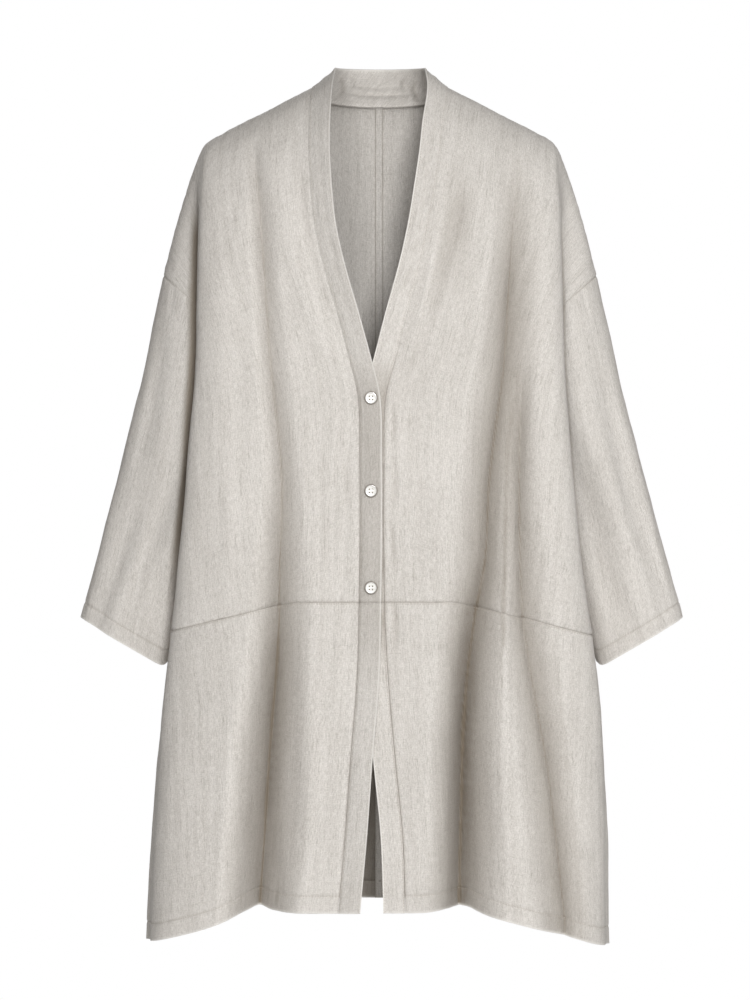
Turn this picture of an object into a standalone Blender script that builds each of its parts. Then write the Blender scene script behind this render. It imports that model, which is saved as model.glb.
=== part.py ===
"""A linen coat with dropped shoulders, filled out as if worn and open inside.

The coat faces -Y and +Z is up. The origin lies between the two points where the shoulder seams meet the neck.
Every cloth piece is a thin wall. All the walls come from one set of cloth surfaces, so that neighbours share
the line of their seam and stand a small gap apart along it.

A place on the body cloth has two coordinates. The level runs from 0 at the shoulder seam to 1 at the underarm,
2 at the waist seam and 3 at the hem. The column runs from 0 at the front band or the centre back to 1 at the
fold in front of or behind the arm, and on to 2 at the armhole and the side seam. The fold beside the arm is
called the lobe.
"""

import math
from collections import namedtuple
from functools import partial

import bmesh
import bpy
import numpy as np

RIGHT, LEFT = -1, 1
FRONT, BACK = -1, 1

# Driving dimensions, in metres
CLOTH = 0.0015
SEAM_GAP = 0.0003
BAND_WIDTH = 0.026

# The neck: a standing band that leans in from its seam on the back
NECK_POINT_X = 0.083
NECK_POINT_Z = 0.006
NECK_SEAM_DEPTH = 0.085
NECK_SEAM_DIP = 0.017
NECK_TOP_DEPTH = 0.067
NECK_CORNER_Z = 0.0304
NECK_BACK_Z = 0.036

# The front bands: the left front steps back behind the right one, and both lean out a little below the neck
BAND_BULGE = 0.0012
BAND_LEAN = 0.006
BAND_RISE_POWER = 3
UNDERLAP_DEPTH = 0.0045
UNDERLAP_REACH = 0.11
UNDERLAP_ONSET = 0.7

# The buttons, on the right front band
BUTTON_RADIUS = 0.007
BUTTON_THICKNESS = 0.0028
BUTTON_RIM = 0.0014
BUTTON_DISH = 0.0008
BUTTON_EDGE = 0.0005
BUTTON_WAIST = 0.4
BUTTON_HOLE_RADIUS = 0.0009
BUTTON_HOLE_OFFSET = 0.0018
BUTTON_HOLES = 4
BUTTON_HOLE_SIDES = 6
BUTTON_SIDES = 24
BUTTON_X = -0.0108
BUTTON_HEIGHTS = (-0.3735, -0.483, -0.597)

# How finely each surface is divided
SHOULDER_ROWS, WAIST_ROWS, HEM_ROWS, SLEEVE_ROWS = 10, 8, 9, 12
NECK_COLUMNS, PANEL_COLUMNS, SIDE_COLUMNS, BAND_COLUMNS = 6, 13, 6, 3

# The shapes of the blends
SECTION_ROUNDNESS = 2.6
HOLLOW_DIRECTION = (-0.8, 0.6)
SWEEP_START = 0.32
SWEEP_POWER = 1.1
SWEEP_AT_LOBE = 0.88
LEFT_SIDE_DROP = 0.006
UNDERARM_DIP = 0.030
UNDERARM_DIP_LEVELS = 0.35
VALLEY_DEPTH = 0.012
VALLEY_FOOT = 0.70
ARMHOLE_BLEND = 1.2
NECK_EASE = 0.35
NECK_SHARE = 0.36
SHARED_SEAM = 0.3

# The shoulder seam, from the neck over the bend of the shoulder to the armhole
ShoulderPoint = namedtuple("ShoulderPoint", "column x z")
SHOULDER_SEAM = (
    ShoulderPoint(0.0, NECK_POINT_X, NECK_POINT_Z),
    ShoulderPoint(0.4, 0.1340, -0.0205),
    ShoulderPoint(0.8, 0.1900, -0.0490),
    ShoulderPoint(1.0, 0.2115, -0.0630),
    ShoulderPoint(1.2, 0.2250, -0.0910),
    ShoulderPoint(1.6, 0.2462, -0.1565),
    ShoulderPoint(2.0, 0.2630, -0.2225),
)

# Half sections of the body from the underarm down: how far out each place lies, and how high
Section = namedtuple("Section", "level front_z side_z back_z front_y lobe_x lobe_y seam_x seam_y rear_x rear_y back_y")
SECTIONS = (
    Section(1.00, -0.330, -0.3205, -0.330, -0.128, 0.2195, -0.084, 0.147, 0.000, 0.206, 0.084, 0.124),
    Section(1.30, -0.415, -0.4180, -0.418, -0.131, 0.2265, -0.084, 0.160, 0.002, 0.215, 0.084, 0.127),
    Section(1.70, -0.530, -0.5500, -0.545, -0.134, 0.2385, -0.078, 0.197, 0.003, 0.231, 0.079, 0.130),
    Section(2.00, -0.614, -0.6540, -0.640, -0.136, 0.2515, -0.068, 0.230, 0.002, 0.245, 0.070, 0.132),
    Section(2.25, -0.706, -0.7480, -0.730, -0.137, 0.2625, -0.056, 0.258, 0.000, 0.258, 0.058, 0.133),
    Section(2.60, -0.834, -0.8780, -0.855, -0.138, 0.2690, -0.052, 0.272, 0.000, 0.267, 0.056, 0.134),
    Section(3.00, -0.980, -1.0255, -0.990, -0.139, 0.2730, -0.052, 0.278, 0.000, 0.272, 0.056, 0.135),
)

# How deep the side sinks between the lobes to make room for the arm, and how far a section sways to the left
Drape = namedtuple("Drape", "level hollow sway")
DRAPES = (
    Drape(1.00, 0.014, 0.0),
    Drape(1.70, 0.009, 0.0),
    Drape(2.00, 0.005, 0.002),
    Drape(2.25, -0.002, 0.002),
    Drape(2.60, -0.004, 0.0),
    Drape(3.00, -0.005, -0.0025),
)

# The free edges of the two fronts, by height: they cross at the foot of the neckline and part below the waist
FrontEdge = namedtuple("FrontEdge", "z right_x left_x")
FRONT_EDGES = (
    FrontEdge(NECK_CORNER_Z, -0.0534, 0.0546),
    FrontEdge(NECK_POINT_Z, BAND_WIDTH - NECK_POINT_X, NECK_POINT_X - BAND_WIDTH),
    FrontEdge(-0.0426, -0.0595, 0.0503),
    FrontEdge(-0.0780, -0.0595, 0.0465),
    FrontEdge(-0.1220, -0.0569, 0.0400),
    FrontEdge(-0.1650, -0.0523, 0.0330),
    FrontEdge(-0.2100, -0.0428, 0.0232),
    FrontEdge(-0.2770, -0.0237, 0.0050),
    FrontEdge(-0.3270, -0.0103, -0.0077),
    FrontEdge(-0.3680, -0.0005, -0.0185),
    FrontEdge(-0.4500, 0.0020, -0.0215),
    FrontEdge(-0.6200, 0.0010, -0.0205),
    FrontEdge(-0.7000, -0.0010, -0.0165),
    FrontEdge(-0.8000, -0.0090, -0.0080),
    FrontEdge(-0.8900, -0.0155, 0.0008),
    FrontEdge(-0.9850, -0.0240, 0.0040),
)

# The largest folds, each a trough that runs down the cloth and swings sideways as it deepens
Fold = namedtuple("Fold", "side face top_z top_x middle_x hem_x top_width hem_width skew top_depth hem_depth lift")
FOLDS = (
    Fold(RIGHT, FRONT, -0.06, -0.145, -0.119, -0.146, 0.018, 0.034, 0.60, 0.003, 0.042, 0.42),
    Fold(RIGHT, FRONT, -0.60, -0.205, -0.214, -0.226, 0.012, 0.018, 1.00, 0.000, 0.008, 0.00),
    Fold(LEFT, FRONT, -0.09, 0.162, 0.128, 0.102, 0.022, 0.034, 0.60, 0.006, 0.038, 0.16),
    Fold(LEFT, FRONT, -0.56, 0.178, 0.192, 0.222, 0.016, 0.024, 1.20, 0.000, 0.016, 0.00),
    Fold(RIGHT, BACK, -0.10, -0.120, -0.128, -0.148, 0.022, 0.034, 0.80, 0.003, 0.036, 0.20),
    Fold(LEFT, BACK, -0.10, 0.105, 0.122, 0.136, 0.022, 0.032, 1.20, 0.003, 0.034, 0.20),
    Fold(RIGHT, BACK, -0.62, -0.060, -0.056, -0.050, 0.018, 0.028, 1.00, 0.000, 0.016, 0.10),
    Fold(LEFT, BACK, -0.58, 0.205, 0.212, 0.220, 0.014, 0.020, 1.00, 0.000, 0.010, 0.00),
)
FOLD_MIDDLE_Z = -0.50
FOLD_FOOT_Z = -0.98
FOLD_ONSET = 0.2
FOLD_POWER = 1.6
FOLD_AT_CHEST = 2.0
LOBE_HOLD = 6

# The sleeve's outer and inner edge seen from the front, from the armhole to the cuff, which rises behind its inner edge
SleeveRing = namedtuple("SleeveRing", "along outer_x outer_z inner_x inner_z half_depth centre_y")
SLEEVE_RINGS = (
    SleeveRing(0.00, 0.2630, -0.2225, 0.1470, -0.3205, 0.056, 0.000),
    SleeveRing(0.30, 0.2885, -0.3450, 0.1825, -0.4320, 0.053, 0.003),
    SleeveRing(0.65, 0.3240, -0.4900, 0.2215, -0.5645, 0.047, 0.007),
    SleeveRing(1.00, 0.3614, -0.6355, 0.2565, -0.6977, 0.041, 0.010),
)
SLEEVE_SWING = {RIGHT: -0.002, LEFT: 0.0065}
CUFF_RISE = 0.008
CUFF_RISE_SPREAD = 0.6

# Soft folds along the sleeve: the angle round the ring, from the outer edge over the front, in half turns
SleeveFold = namedtuple("SleeveFold", "top_turn cuff_turn width depth")
SLEEVE_FOLDS = (
    SleeveFold(0.30, 0.24, 0.10, 0.006),
    SleeveFold(0.66, 0.58, 0.12, 0.008),
    SleeveFold(-0.45, -0.38, 0.12, 0.007),
)
SLEEVE_FOLD_AT_CUFF = 0.35

# Finishes
LINEN_COLOUR = (0.62, 0.58, 0.52, 1.0)
LINEN_ROUGHNESS = 0.9
SHELL_COLOUR = (0.86, 0.84, 0.80, 1.0)
SHELL_ROUGHNESS = 0.3
SHARP_ANGLE = math.radians(50)

Surface = namedtuple("Surface", "points closed flip")


def smooth_step(value):
    """An S-curve from 0 to 1."""
    held = min(1.0, max(0.0, value))
    return held * held * (3 - 2 * held)


def mix(start, end, share):
    """A value between two others."""
    return start + (end - start) * share


def hermite(start, end, leave, meet, s):
    """A cubic curve between two values or points with a direction at each end."""
    first = start * (1 + 2 * s) * (1 - s) ** 2 + leave * s * (1 - s) ** 2
    return first + end * s * s * (3 - 2 * s) + meet * s * s * (s - 1)


def lookup(rows, key, column, at):
    """A smooth curve through one column of a table whose rows are in the order of their key."""
    pairs = sorted((getattr(row, key), getattr(row, column)) for row in rows)
    keys, values = zip(*pairs)
    at = min(keys[-1], max(keys[0], at))
    steps = [(b - a) / (d - c) for a, b, c, d in zip(values, values[1:], keys, keys[1:])]
    slopes = [steps[0]] + [(a + b) / 2 for a, b in zip(steps, steps[1:])] + [steps[-1]]
    i = max(n for n in range(len(steps)) if keys[n] <= at)
    span = keys[i + 1] - keys[i]
    return hermite(values[i], values[i + 1], slopes[i] * span, slopes[i + 1] * span, (at - keys[i]) / span)


def section(column, level):
    """A body section's size at a level."""
    return lookup(SECTIONS, "level", column, level)


def edge_x(side, z):
    """Where the free edge of a front lies at a height."""
    return lookup(FRONT_EDGES, "z", "right_x" if side == RIGHT else "left_x", z)


def shoulder_point(side, column):
    """A point on the shoulder seam."""
    x = lookup(SHOULDER_SEAM, "column", "x", column)
    z = lookup(SHOULDER_SEAM, "column", "z", column)
    return np.array((side * x, 0.0, z))


def ring_point(side, half_turns, along):
    """A point on a sleeve ring: 0 half turns at its outer edge, 1 at its inner edge, negative round the back."""
    ring = {column: lookup(SLEEVE_RINGS, "along", column, along) for column in SleeveRing._fields[1:]}
    turn = math.pi * half_turns
    out = (1 + math.cos(turn)) / 2
    x = mix(ring["inner_x"], ring["outer_x"], out)
    z = mix(ring["inner_z"], ring["outer_z"], out)
    z += CUFF_RISE * along * (1 - out) ** 2 * (1 - smooth_step(math.sin(turn) / CUFF_RISE_SPREAD))
    depth = ring["half_depth"]
    fold_share = mix(math.sin(math.pi * min(along, 1.0)), along, SLEEVE_FOLD_AT_CUFF)
    for fold in SLEEVE_FOLDS:
        away = (half_turns - mix(fold.top_turn, fold.cuff_turn, along) + 1) % 2 - 1
        depth -= fold.depth * fold_share * math.exp(-((away / fold.width) ** 2))
    return np.array((side * x + SLEEVE_SWING[side] * along, ring["centre_y"] - depth * math.sin(turn), z))


def armhole_point(side, face, level):
    """A point on the armhole seam, from the shoulder seam at level 0 to the underarm at level 1."""
    return ring_point(side, -face * level, 0.0)


def fold_press(side, face, x, z):
    """How far the folds press the cloth in at a place on the front or the back, and how far they lift the hem."""
    press = lift = 0.0
    for fold in FOLDS:
        if (fold.side, fold.face) != (side, face) or z > fold.top_z:
            continue
        down = min(1.0, (fold.top_z - z) / (fold.top_z - FOLD_FOOT_Z))
        below = min(1.0, max(0.0, (FOLD_MIDDLE_Z - z) / (FOLD_MIDDLE_Z - FOLD_FOOT_Z)))
        above = 1.0 if below > 0 else (fold.top_z - z) / (fold.top_z - FOLD_MIDDLE_Z)
        centre = mix(fold.top_x, fold.middle_x, smooth_step(above)) + (fold.hem_x - fold.middle_x) * below
        width = mix(fold.top_width, fold.hem_width, down)
        depth = fold.top_depth * smooth_step(down / FOLD_ONSET)
        depth += (fold.hem_depth - fold.top_depth) * down ** FOLD_POWER
        away = (x - centre) / (width * (fold.skew if x > centre else 1 / fold.skew))
        trough = math.exp(-away * away)
        press += depth * trough
        lift += depth * trough * trough * fold.lift
    return press, lift


def section_height(side, face, column, level):
    """How high a place on a body section lies: level near the centre, then sweeping down to the side seam."""
    middle_z = section("front_z" if face == FRONT else "back_z", level)
    side_z = section("side_z", level)
    if side == LEFT:
        side_z -= LEFT_SIDE_DROP * smooth_step(level - 1)
    past_start = max(0.0, min(column, 1.0) - SWEEP_START) / (1 - SWEEP_START)
    sweep = SWEEP_AT_LOBE * past_start ** SWEEP_POWER + (1 - SWEEP_AT_LOBE) * max(0.0, column - 1)
    dip = UNDERARM_DIP * (1 - smooth_step((level - 1) / UNDERARM_DIP_LEVELS)) if column > 1 else 0.0
    return mix(middle_z, side_z, sweep) - dip * math.sin(math.pi * (column - 1))


def section_point(side, face, column, level):
    """A point on a body section from the underarm down."""
    front = face == FRONT
    lobe = np.array([section(name, level) for name in (("lobe_x", "lobe_y") if front else ("rear_x", "rear_y"))])
    z = section_height(side, face, column, level)
    sway = lookup(DRAPES, "level", "sway", level)
    if column <= 1:
        middle_y = section("front_y" if front else "back_y", level)
        start_x = side * edge_x(side, section("front_z", level)) + BAND_WIDTH if front else 0.0
        x = side * mix(start_x, lobe[0], column)
        y = mix(lobe[1], middle_y, (1 - column ** SECTION_ROUNDNESS) ** (1 / SECTION_ROUNDNESS))
        press, lift = fold_press(side, face, x, z)
        held = 1 - column ** LOBE_HOLD
        return np.array((x + sway * column, y - face * press * held, z + lift * held * smooth_step(level - 2)))
    seam = np.array((section("seam_x", level), section("seam_y", level)))
    hollow = lookup(DRAPES, "level", "hollow", level) * np.array(HOLLOW_DIRECTION) * (1, face)
    groove = (lobe + seam) / 2 + hollow
    turn_in = np.array((0.0, seam[1] - lobe[1])) / 2
    along_side = (seam - lobe) / 2
    half = (column - 1) * 2
    if half < 1:
        x, y = hermite(lobe, groove, turn_in, along_side, half)
    else:
        x, y = hermite(groove, seam, along_side, turn_in, half - 1)
    return np.array((side * x + sway, y, z))


def fall(top, foot, level, ease=1.0):
    """A quarter ellipse from the top of the shoulder out and down to the underarm section."""
    angle = math.pi / 2 * level
    out, down = math.sin(angle) ** ease, 1 - math.cos(angle)
    return mix(top, foot, np.array(((out + down) / 2, out, down)))


def shoulder_cap(side, face, column, level):
    """How a place between the lobe and the armhole is moved to meet the armhole, with a soft valley before it."""
    end = fall(shoulder_point(side, 2), section_point(side, face, 2, 1.0), level)
    round_side = column - 1
    moved = (armhole_point(side, face, level) - end) * round_side ** ARMHOLE_BLEND
    sunk = math.sin(math.pi * min(1.0, level / VALLEY_FOOT)) ** 2 * math.sin(math.pi * round_side)
    moved[1] -= face * VALLEY_DEPTH * sunk
    return moved


def front_point(side, column, level):
    """A point on the outer surface of a front panel."""
    if level >= 1:
        point = section_point(side, FRONT, column, level)
    else:
        point = fall(shoulder_point(side, column), section_point(side, FRONT, column, 1.0), level)
        if column > 1:
            point += shoulder_cap(side, FRONT, column, level)
        else:
            edge = fall(shoulder_point(side, 0), section_point(side, FRONT, 0, 1.0), level)
            band_seam_x = edge_x(side, edge[2]) + side * BAND_WIDTH
            point[0] += (band_seam_x - edge[0]) * (1 - column) ** 2
            point[1] += fold_press(side, FRONT, point[0], point[2])[0] * level * (1 - level) * FOLD_AT_CHEST
    if side == LEFT:
        near_centre = 1 - smooth_step(point[0] / UNDERLAP_REACH)
        point[1] += UNDERLAP_DEPTH * near_centre * smooth_step(level / UNDERLAP_ONSET)
    return point


def neck_seam_point(side, along):
    """A point on the back neck seam: 0 at the centre back, 1 at the shoulder seam."""
    angle = math.pi / 2 * (1 - along)
    x = side * NECK_POINT_X * math.cos(angle)
    return np.array((x, NECK_SEAM_DEPTH * math.sin(angle), NECK_POINT_Z - NECK_SEAM_DIP * math.sin(angle) ** 2))


def back_point(side, place, level):
    """A point on the outer surface of a back panel: place -1 at the centre, 0 at the neck point, 2 at the side."""
    column = place if place > 1 else mix(NECK_SHARE, 1, place) if place > 0 else NECK_SHARE * (place + 1)
    if level >= 1:
        return section_point(side, BACK, column, level)
    top = shoulder_point(side, place) if place > 0 else neck_seam_point(side, place + 1)
    ease = 1 - NECK_EASE * max(0.0, 1 - abs(place))
    point = fall(top, section_point(side, BACK, column, 1.0), level, ease)
    if place > 1:
        point += shoulder_cap(side, BACK, place, level)
    return point


def band_point(side, across, level):
    """A point on a front band: 0 across at its seam, 1 at the free edge of the coat."""
    seam = front_point(side, 0, level)
    above_chest = max(0.0, 1 - level)
    free_z = seam[2] + (NECK_CORNER_Z - NECK_POINT_Z) * above_chest ** BAND_RISE_POWER
    free_y = seam[1] - BAND_LEAN * math.sin(math.pi * above_chest)
    point = mix(seam, np.array((edge_x(side, free_z), free_y, free_z)), across)
    point[1] -= BAND_BULGE * math.sin(math.pi * across) * smooth_step(2 * level)
    return point


def neck_band_point(around, up):
    """A point on the standing neck band: around from -1 at the right shoulder to 1 at the left."""
    side = RIGHT if around < 0 else LEFT
    if abs(around) == 1:
        return band_point(side, up, 0.0)
    corner = band_point(side, 1.0, 0.0)
    angle = math.pi / 2 * (1 - abs(around))
    top_z = mix(corner[2], NECK_BACK_Z, math.sin(angle))
    top = np.array((corner[0] * math.cos(angle), NECK_TOP_DEPTH * math.sin(angle), top_z))
    return mix(neck_seam_point(side, abs(around)), top, up)


def spread(start, end, count):
    """Evenly spaced values from start to end."""
    return [mix(start, end, i / count) for i in range(count + 1)]


def grid(function, rows, columns):
    """Points of a surface as an array of rows and columns."""
    return np.array([[function(column, row) for column in columns] for row in rows])


def cloth_surfaces():
    """Every cloth piece's outer surface, by name."""
    shoulder = spread(0, 1, SHOULDER_ROWS)
    upper = shoulder + spread(1, 2, WAIST_ROWS)[1:]
    lower = spread(2, 3, HEM_ROWS)
    columns = spread(0, 1, PANEL_COLUMNS) + spread(1, 2, SIDE_COLUMNS)[1:]
    places = spread(-1, 0, NECK_COLUMNS) + columns[1:]
    across = spread(0, 1, BAND_COLUMNS)
    turns = shoulder + [-turn for turn in shoulder[-2:0:-1]]
    around = spread(-1, 1, 2 * NECK_COLUMNS)
    surfaces = {"neck_band": Surface(grid(neck_band_point, across, around), False, False)}
    for side, word in ((RIGHT, "right"), (LEFT, "left")):
        flip = side == LEFT
        front, back = partial(front_point, side), partial(back_point, side)
        band, sleeve = partial(band_point, side), partial(ring_point, side)
        surfaces[f"upper_front_{word}"] = Surface(grid(front, upper, columns), False, not flip)
        surfaces[f"lower_front_{word}"] = Surface(grid(front, lower, columns), False, not flip)
        surfaces[f"back_{word}"] = Surface(grid(back, upper + lower[1:], places), False, flip)
        surfaces[f"upper_band_{word}"] = Surface(grid(band, upper, across), False, flip)
        surfaces[f"lower_band_{word}"] = Surface(grid(band, lower, across), False, flip)
        surfaces[f"sleeve_{word}"] = Surface(grid(sleeve, spread(0, 1, SLEEVE_ROWS), turns), True, flip)
    return surfaces


def key_of(point):
    """A point rounded, so that panels find the points they share."""
    return tuple(np.round(point, 6))


def own_normals(surface):
    """A panel's outward direction at each of its points."""
    points = surface.points
    if surface.closed:
        points = np.concatenate([points, points[:, :1]], axis=1)
    rising = points[:-1, 1:] - points[1:, :-1]
    falling = points[1:, 1:] - points[:-1, :-1]
    faces = np.cross(falling, rising) * (-1 if surface.flip else 1)
    sums = {}
    for i, j in np.ndindex(faces.shape[:2]):
        for corner in ((i, j), (i + 1, j), (i, j + 1), (i + 1, j + 1)):
            key = key_of(points[corner])
            sums[key] = sums.get(key, 0) + faces[i, j]
    return {key: total / np.linalg.norm(total) for key, total in sums.items()}


def shared_normals(surfaces):
    """Each panel's outward directions, averaged at a seam with the panels that go on the same way there."""
    own = {name: own_normals(surface) for name, surface in surfaces.items()}
    meeting = {}
    for directions in own.values():
        for key, direction in directions.items():
            meeting.setdefault(key, []).append(direction)
    shared = {name: {} for name in own}
    for name, directions in own.items():
        for key, direction in directions.items():
            total = sum(other for other in meeting[key] if np.dot(other, direction) > SHARED_SEAM)
            shared[name][key] = total / np.linalg.norm(total)
    return shared


def part_seams(surface):
    """A surface's points with each outer row and column drawn in by half a seam gap."""
    points = surface.points
    moved = points.copy()
    for edge, inner in ((0, 1), (-1, -2)):
        step = points[inner] - points[edge]
        moved[edge] += step / np.linalg.norm(step, axis=1)[:, None] * SEAM_GAP / 2
        if not surface.closed:
            step = points[:, inner] - points[:, edge]
            moved[:, edge] += step / np.linalg.norm(step, axis=1)[:, None] * SEAM_GAP / 2
    return moved


def rim_loops(rows, columns, closed):
    """The places round the free edges of a surface, in order: one loop for a panel, two for a tube."""
    top = [(0, j) for j in range(columns)]
    foot = [(rows - 1, j) for j in range(columns)]
    if closed:
        return [top, foot]
    right = [(i, columns - 1) for i in range(1, rows - 1)]
    left = [(i, 0) for i in range(1, rows - 1)]
    return [top + right + foot[::-1] + left[::-1]]


def cloth_wall(name, surface, normals):
    """A closed wall of cloth: the outer surface, the same surface moved in by the cloth's thickness, and the rims."""
    directions = np.array([[normals[key_of(point)] for point in row] for row in surface.points])
    outer_points = part_seams(surface)
    rows, columns = outer_points.shape[:2]
    built = bmesh.new()
    outer = [[built.verts.new(point) for point in row] for row in outer_points]
    inner = [[built.verts.new(point) for point in row] for row in outer_points - directions * CLOTH]
    for i in range(rows - 1):
        for j in range(columns if surface.closed else columns - 1):
            k = (j + 1) % columns
            built.faces.new((outer[i][j], outer[i + 1][j], outer[i + 1][k], outer[i][k]))
            built.faces.new((inner[i][j], inner[i][k], inner[i + 1][k], inner[i + 1][j]))
    for loop in rim_loops(rows, columns, surface.closed):
        for (i, j), (k, m) in zip(loop, loop[1:] + loop[:1]):
            built.faces.new((outer[i][j], outer[k][m], inner[k][m], inner[i][j]))
    return finish(name, built, make_material(f"{name}_linen", LINEN_COLOUR, LINEN_ROUGHNESS))


def button(name, z):
    """A round four-hole button, dished on its face, that lies on the right front band."""
    profile = (
        (BUTTON_RADIUS - BUTTON_EDGE, 0.0),
        (BUTTON_RADIUS, BUTTON_THICKNESS * BUTTON_WAIST),
        (BUTTON_RADIUS - BUTTON_EDGE, BUTTON_THICKNESS),
        (BUTTON_RADIUS - BUTTON_RIM, BUTTON_THICKNESS),
        (BUTTON_RADIUS - BUTTON_RIM - BUTTON_EDGE, BUTTON_THICKNESS - BUTTON_DISH),
    )
    built = bmesh.new()
    outline = [built.verts.new((radius, -height, 0.0)) for radius, height in profile]
    edges = [built.edges.new(pair) for pair in zip(outline, outline[1:])]
    bmesh.ops.spin(
        built,
        geom=outline + edges,
        cent=(0.0, 0.0, 0.0),
        axis=(0.0, 1.0, 0.0),
        angle=2 * math.pi,
        steps=BUTTON_SIDES,
        use_merge=True,
    )
    bmesh.ops.holes_fill(built, edges=[edge for edge in built.edges if edge.is_boundary])
    made = finish(name, built, make_material(f"{name}_shell", SHELL_COLOUR, SHELL_ROUGHNESS))
    made.location = (BUTTON_X, band_face_y(z) - SEAM_GAP, z)
    for number in range(BUTTON_HOLES):
        angle = 2 * math.pi * (number + 0.5) / BUTTON_HOLES
        hole = made.modifiers.new(f"hole_{number + 1}", "BOOLEAN")
        hole.operation = "DIFFERENCE"
        hole.object = hole_cutter(made, number, angle)
    return made


def band_face_y(z):
    """How far forward the right band's face stands at a height between the chest and the waist seam."""
    top_z, waist_z = front_point(RIGHT, 0, 1.0)[2], front_point(RIGHT, 0, 2.0)[2]
    level = 1 + (z - top_z) / (waist_z - top_z)
    return front_point(RIGHT, 0, level)[1] - BAND_BULGE


def hole_cutter(made, number, angle):
    """A pin along the button's axis that cuts one sewing hole."""
    built = bmesh.new()
    bmesh.ops.create_cone(
        built,
        cap_ends=True,
        segments=BUTTON_HOLE_SIDES,
        radius1=BUTTON_HOLE_RADIUS,
        radius2=BUTTON_HOLE_RADIUS,
        depth=BUTTON_THICKNESS * 4,
    )
    mesh = bpy.data.meshes.new(f"{made.name}_hole_{number + 1}")
    built.to_mesh(mesh)
    built.free()
    cutter = bpy.data.objects.new(mesh.name, mesh)
    bpy.context.scene.collection.objects.link(cutter)
    cutter.parent = made
    cutter.location = (BUTTON_HOLE_OFFSET * math.cos(angle), 0.0, BUTTON_HOLE_OFFSET * math.sin(angle))
    cutter.rotation_euler = (math.pi / 2, 0.0, 0.0)
    cutter.hide_render = True
    cutter.display_type = "WIRE"
    return cutter


def finish(name, built, material):
    """Makes a named object of a built mesh, shaded smooth with its sharp edges kept."""
    bmesh.ops.recalc_face_normals(built, faces=built.faces)
    mesh = bpy.data.meshes.new(name)
    built.to_mesh(mesh)
    built.free()
    mesh.shade_smooth()
    mesh.set_sharp_from_angle(angle=SHARP_ANGLE)
    mesh.materials.append(material)
    made = bpy.data.objects.new(name, mesh)
    bpy.context.scene.collection.objects.link(made)
    return made


def make_material(name, colour, roughness):
    """A plain finish."""
    material = bpy.data.materials.new(name)
    material.use_nodes = True
    shader = material.node_tree.nodes["Principled BSDF"]
    shader.inputs["Base Color"].default_value = colour
    shader.inputs["Roughness"].default_value = roughness
    shader.inputs["Metallic"].default_value = 0.0
    return material


def main():
    for old in list(bpy.data.objects):
        bpy.data.objects.remove(old)
    surfaces = cloth_surfaces()
    normals = shared_normals(surfaces)
    for name, surface in surfaces.items():
        cloth_wall(name, surface, normals[name])
    for number, z in enumerate(BUTTON_HEIGHTS, start=1):
        button(f"button_{number}", z)


main()
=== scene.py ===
"""Dresses the linen coat: thin shells of creased cloth, sewing, shell buttons, finishes, camera and studio.

The coat faces -Y with +Z up, and its origin lies between the points where the shoulder seams meet the neck.
A place on the body cloth has a level, 0 at the shoulder seam, 1 at the underarm, 2 at the waist seam and 3
at the hem, and a column, 0 at the front band or the centre back, 1 at the fold beside the arm and 2 at the
side seam.
"""

from __future__ import annotations

import logging
import math
from dataclasses import dataclass, field
from enum import Enum
from typing import Callable, NamedTuple, Sequence, TypeAlias

import bpy
import numpy as np
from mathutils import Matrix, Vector, noise

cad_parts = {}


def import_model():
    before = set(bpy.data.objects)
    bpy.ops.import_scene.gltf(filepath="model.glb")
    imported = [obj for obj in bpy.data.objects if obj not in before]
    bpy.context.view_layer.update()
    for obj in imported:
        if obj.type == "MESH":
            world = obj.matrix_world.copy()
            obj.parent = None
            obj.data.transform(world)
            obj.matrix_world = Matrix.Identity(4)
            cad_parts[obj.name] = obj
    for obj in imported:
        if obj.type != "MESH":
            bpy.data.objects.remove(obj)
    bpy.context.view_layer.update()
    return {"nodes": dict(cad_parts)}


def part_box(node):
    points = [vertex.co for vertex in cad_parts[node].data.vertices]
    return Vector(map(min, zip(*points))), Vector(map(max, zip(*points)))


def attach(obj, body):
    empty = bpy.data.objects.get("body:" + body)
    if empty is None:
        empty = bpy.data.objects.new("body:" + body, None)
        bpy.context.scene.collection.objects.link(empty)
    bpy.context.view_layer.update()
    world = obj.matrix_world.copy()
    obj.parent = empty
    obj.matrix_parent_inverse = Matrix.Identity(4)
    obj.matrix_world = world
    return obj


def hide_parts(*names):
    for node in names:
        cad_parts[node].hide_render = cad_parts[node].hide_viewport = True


LOG = logging.getLogger("coat")
BODY = "root"

Pair: TypeAlias = "tuple[float, float]"
Triple: TypeAlias = "tuple[float, float, float]"
Colour: TypeAlias = "tuple[float, float, float, float]"
Value: TypeAlias = "float | np.ndarray"
NodeInput: TypeAlias = "float | tuple[float, ...] | bpy.types.NodeSocket"
Socket: TypeAlias = "bpy.types.NodeSocket"


class Side(Enum):
    """The wearer's right, which shows on the left, or left."""

    RIGHT = -1
    LEFT = 1

    @property
    def word(self) -> str:
        """The side's name in a piece's name."""
        return self.name.lower()


class Face(Enum):
    """The front or the back of the body."""

    FRONT = -1
    BACK = 1


class Edge(Enum):
    """What happens along one edge of a cloth piece."""

    SEAM = "sewn to a neighbour"
    HEM = "folded twice and stitched"
    FOLD = "a soft folded edge"
    FELL = "turned under and sewn flat"


class ShoulderPoint(NamedTuple):
    """A point of the shoulder seam, from the neck to the armhole."""

    column: float
    x: float
    z: float


class Section(NamedTuple):
    """A half section of the body from the underarm down."""

    level: float
    front_z: float
    side_z: float
    back_z: float
    front_y: float
    lobe_x: float
    lobe_y: float
    seam_x: float
    seam_y: float
    rear_x: float
    rear_y: float
    back_y: float


class Drape(NamedTuple):
    """How deep the side sinks between its folds, and how far the section sways to the left."""

    level: float
    hollow: float
    sway: float


class FrontEdge(NamedTuple):
    """Where the free edges of the two fronts lie at a height."""

    z: float
    right_x: float
    left_x: float


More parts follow.
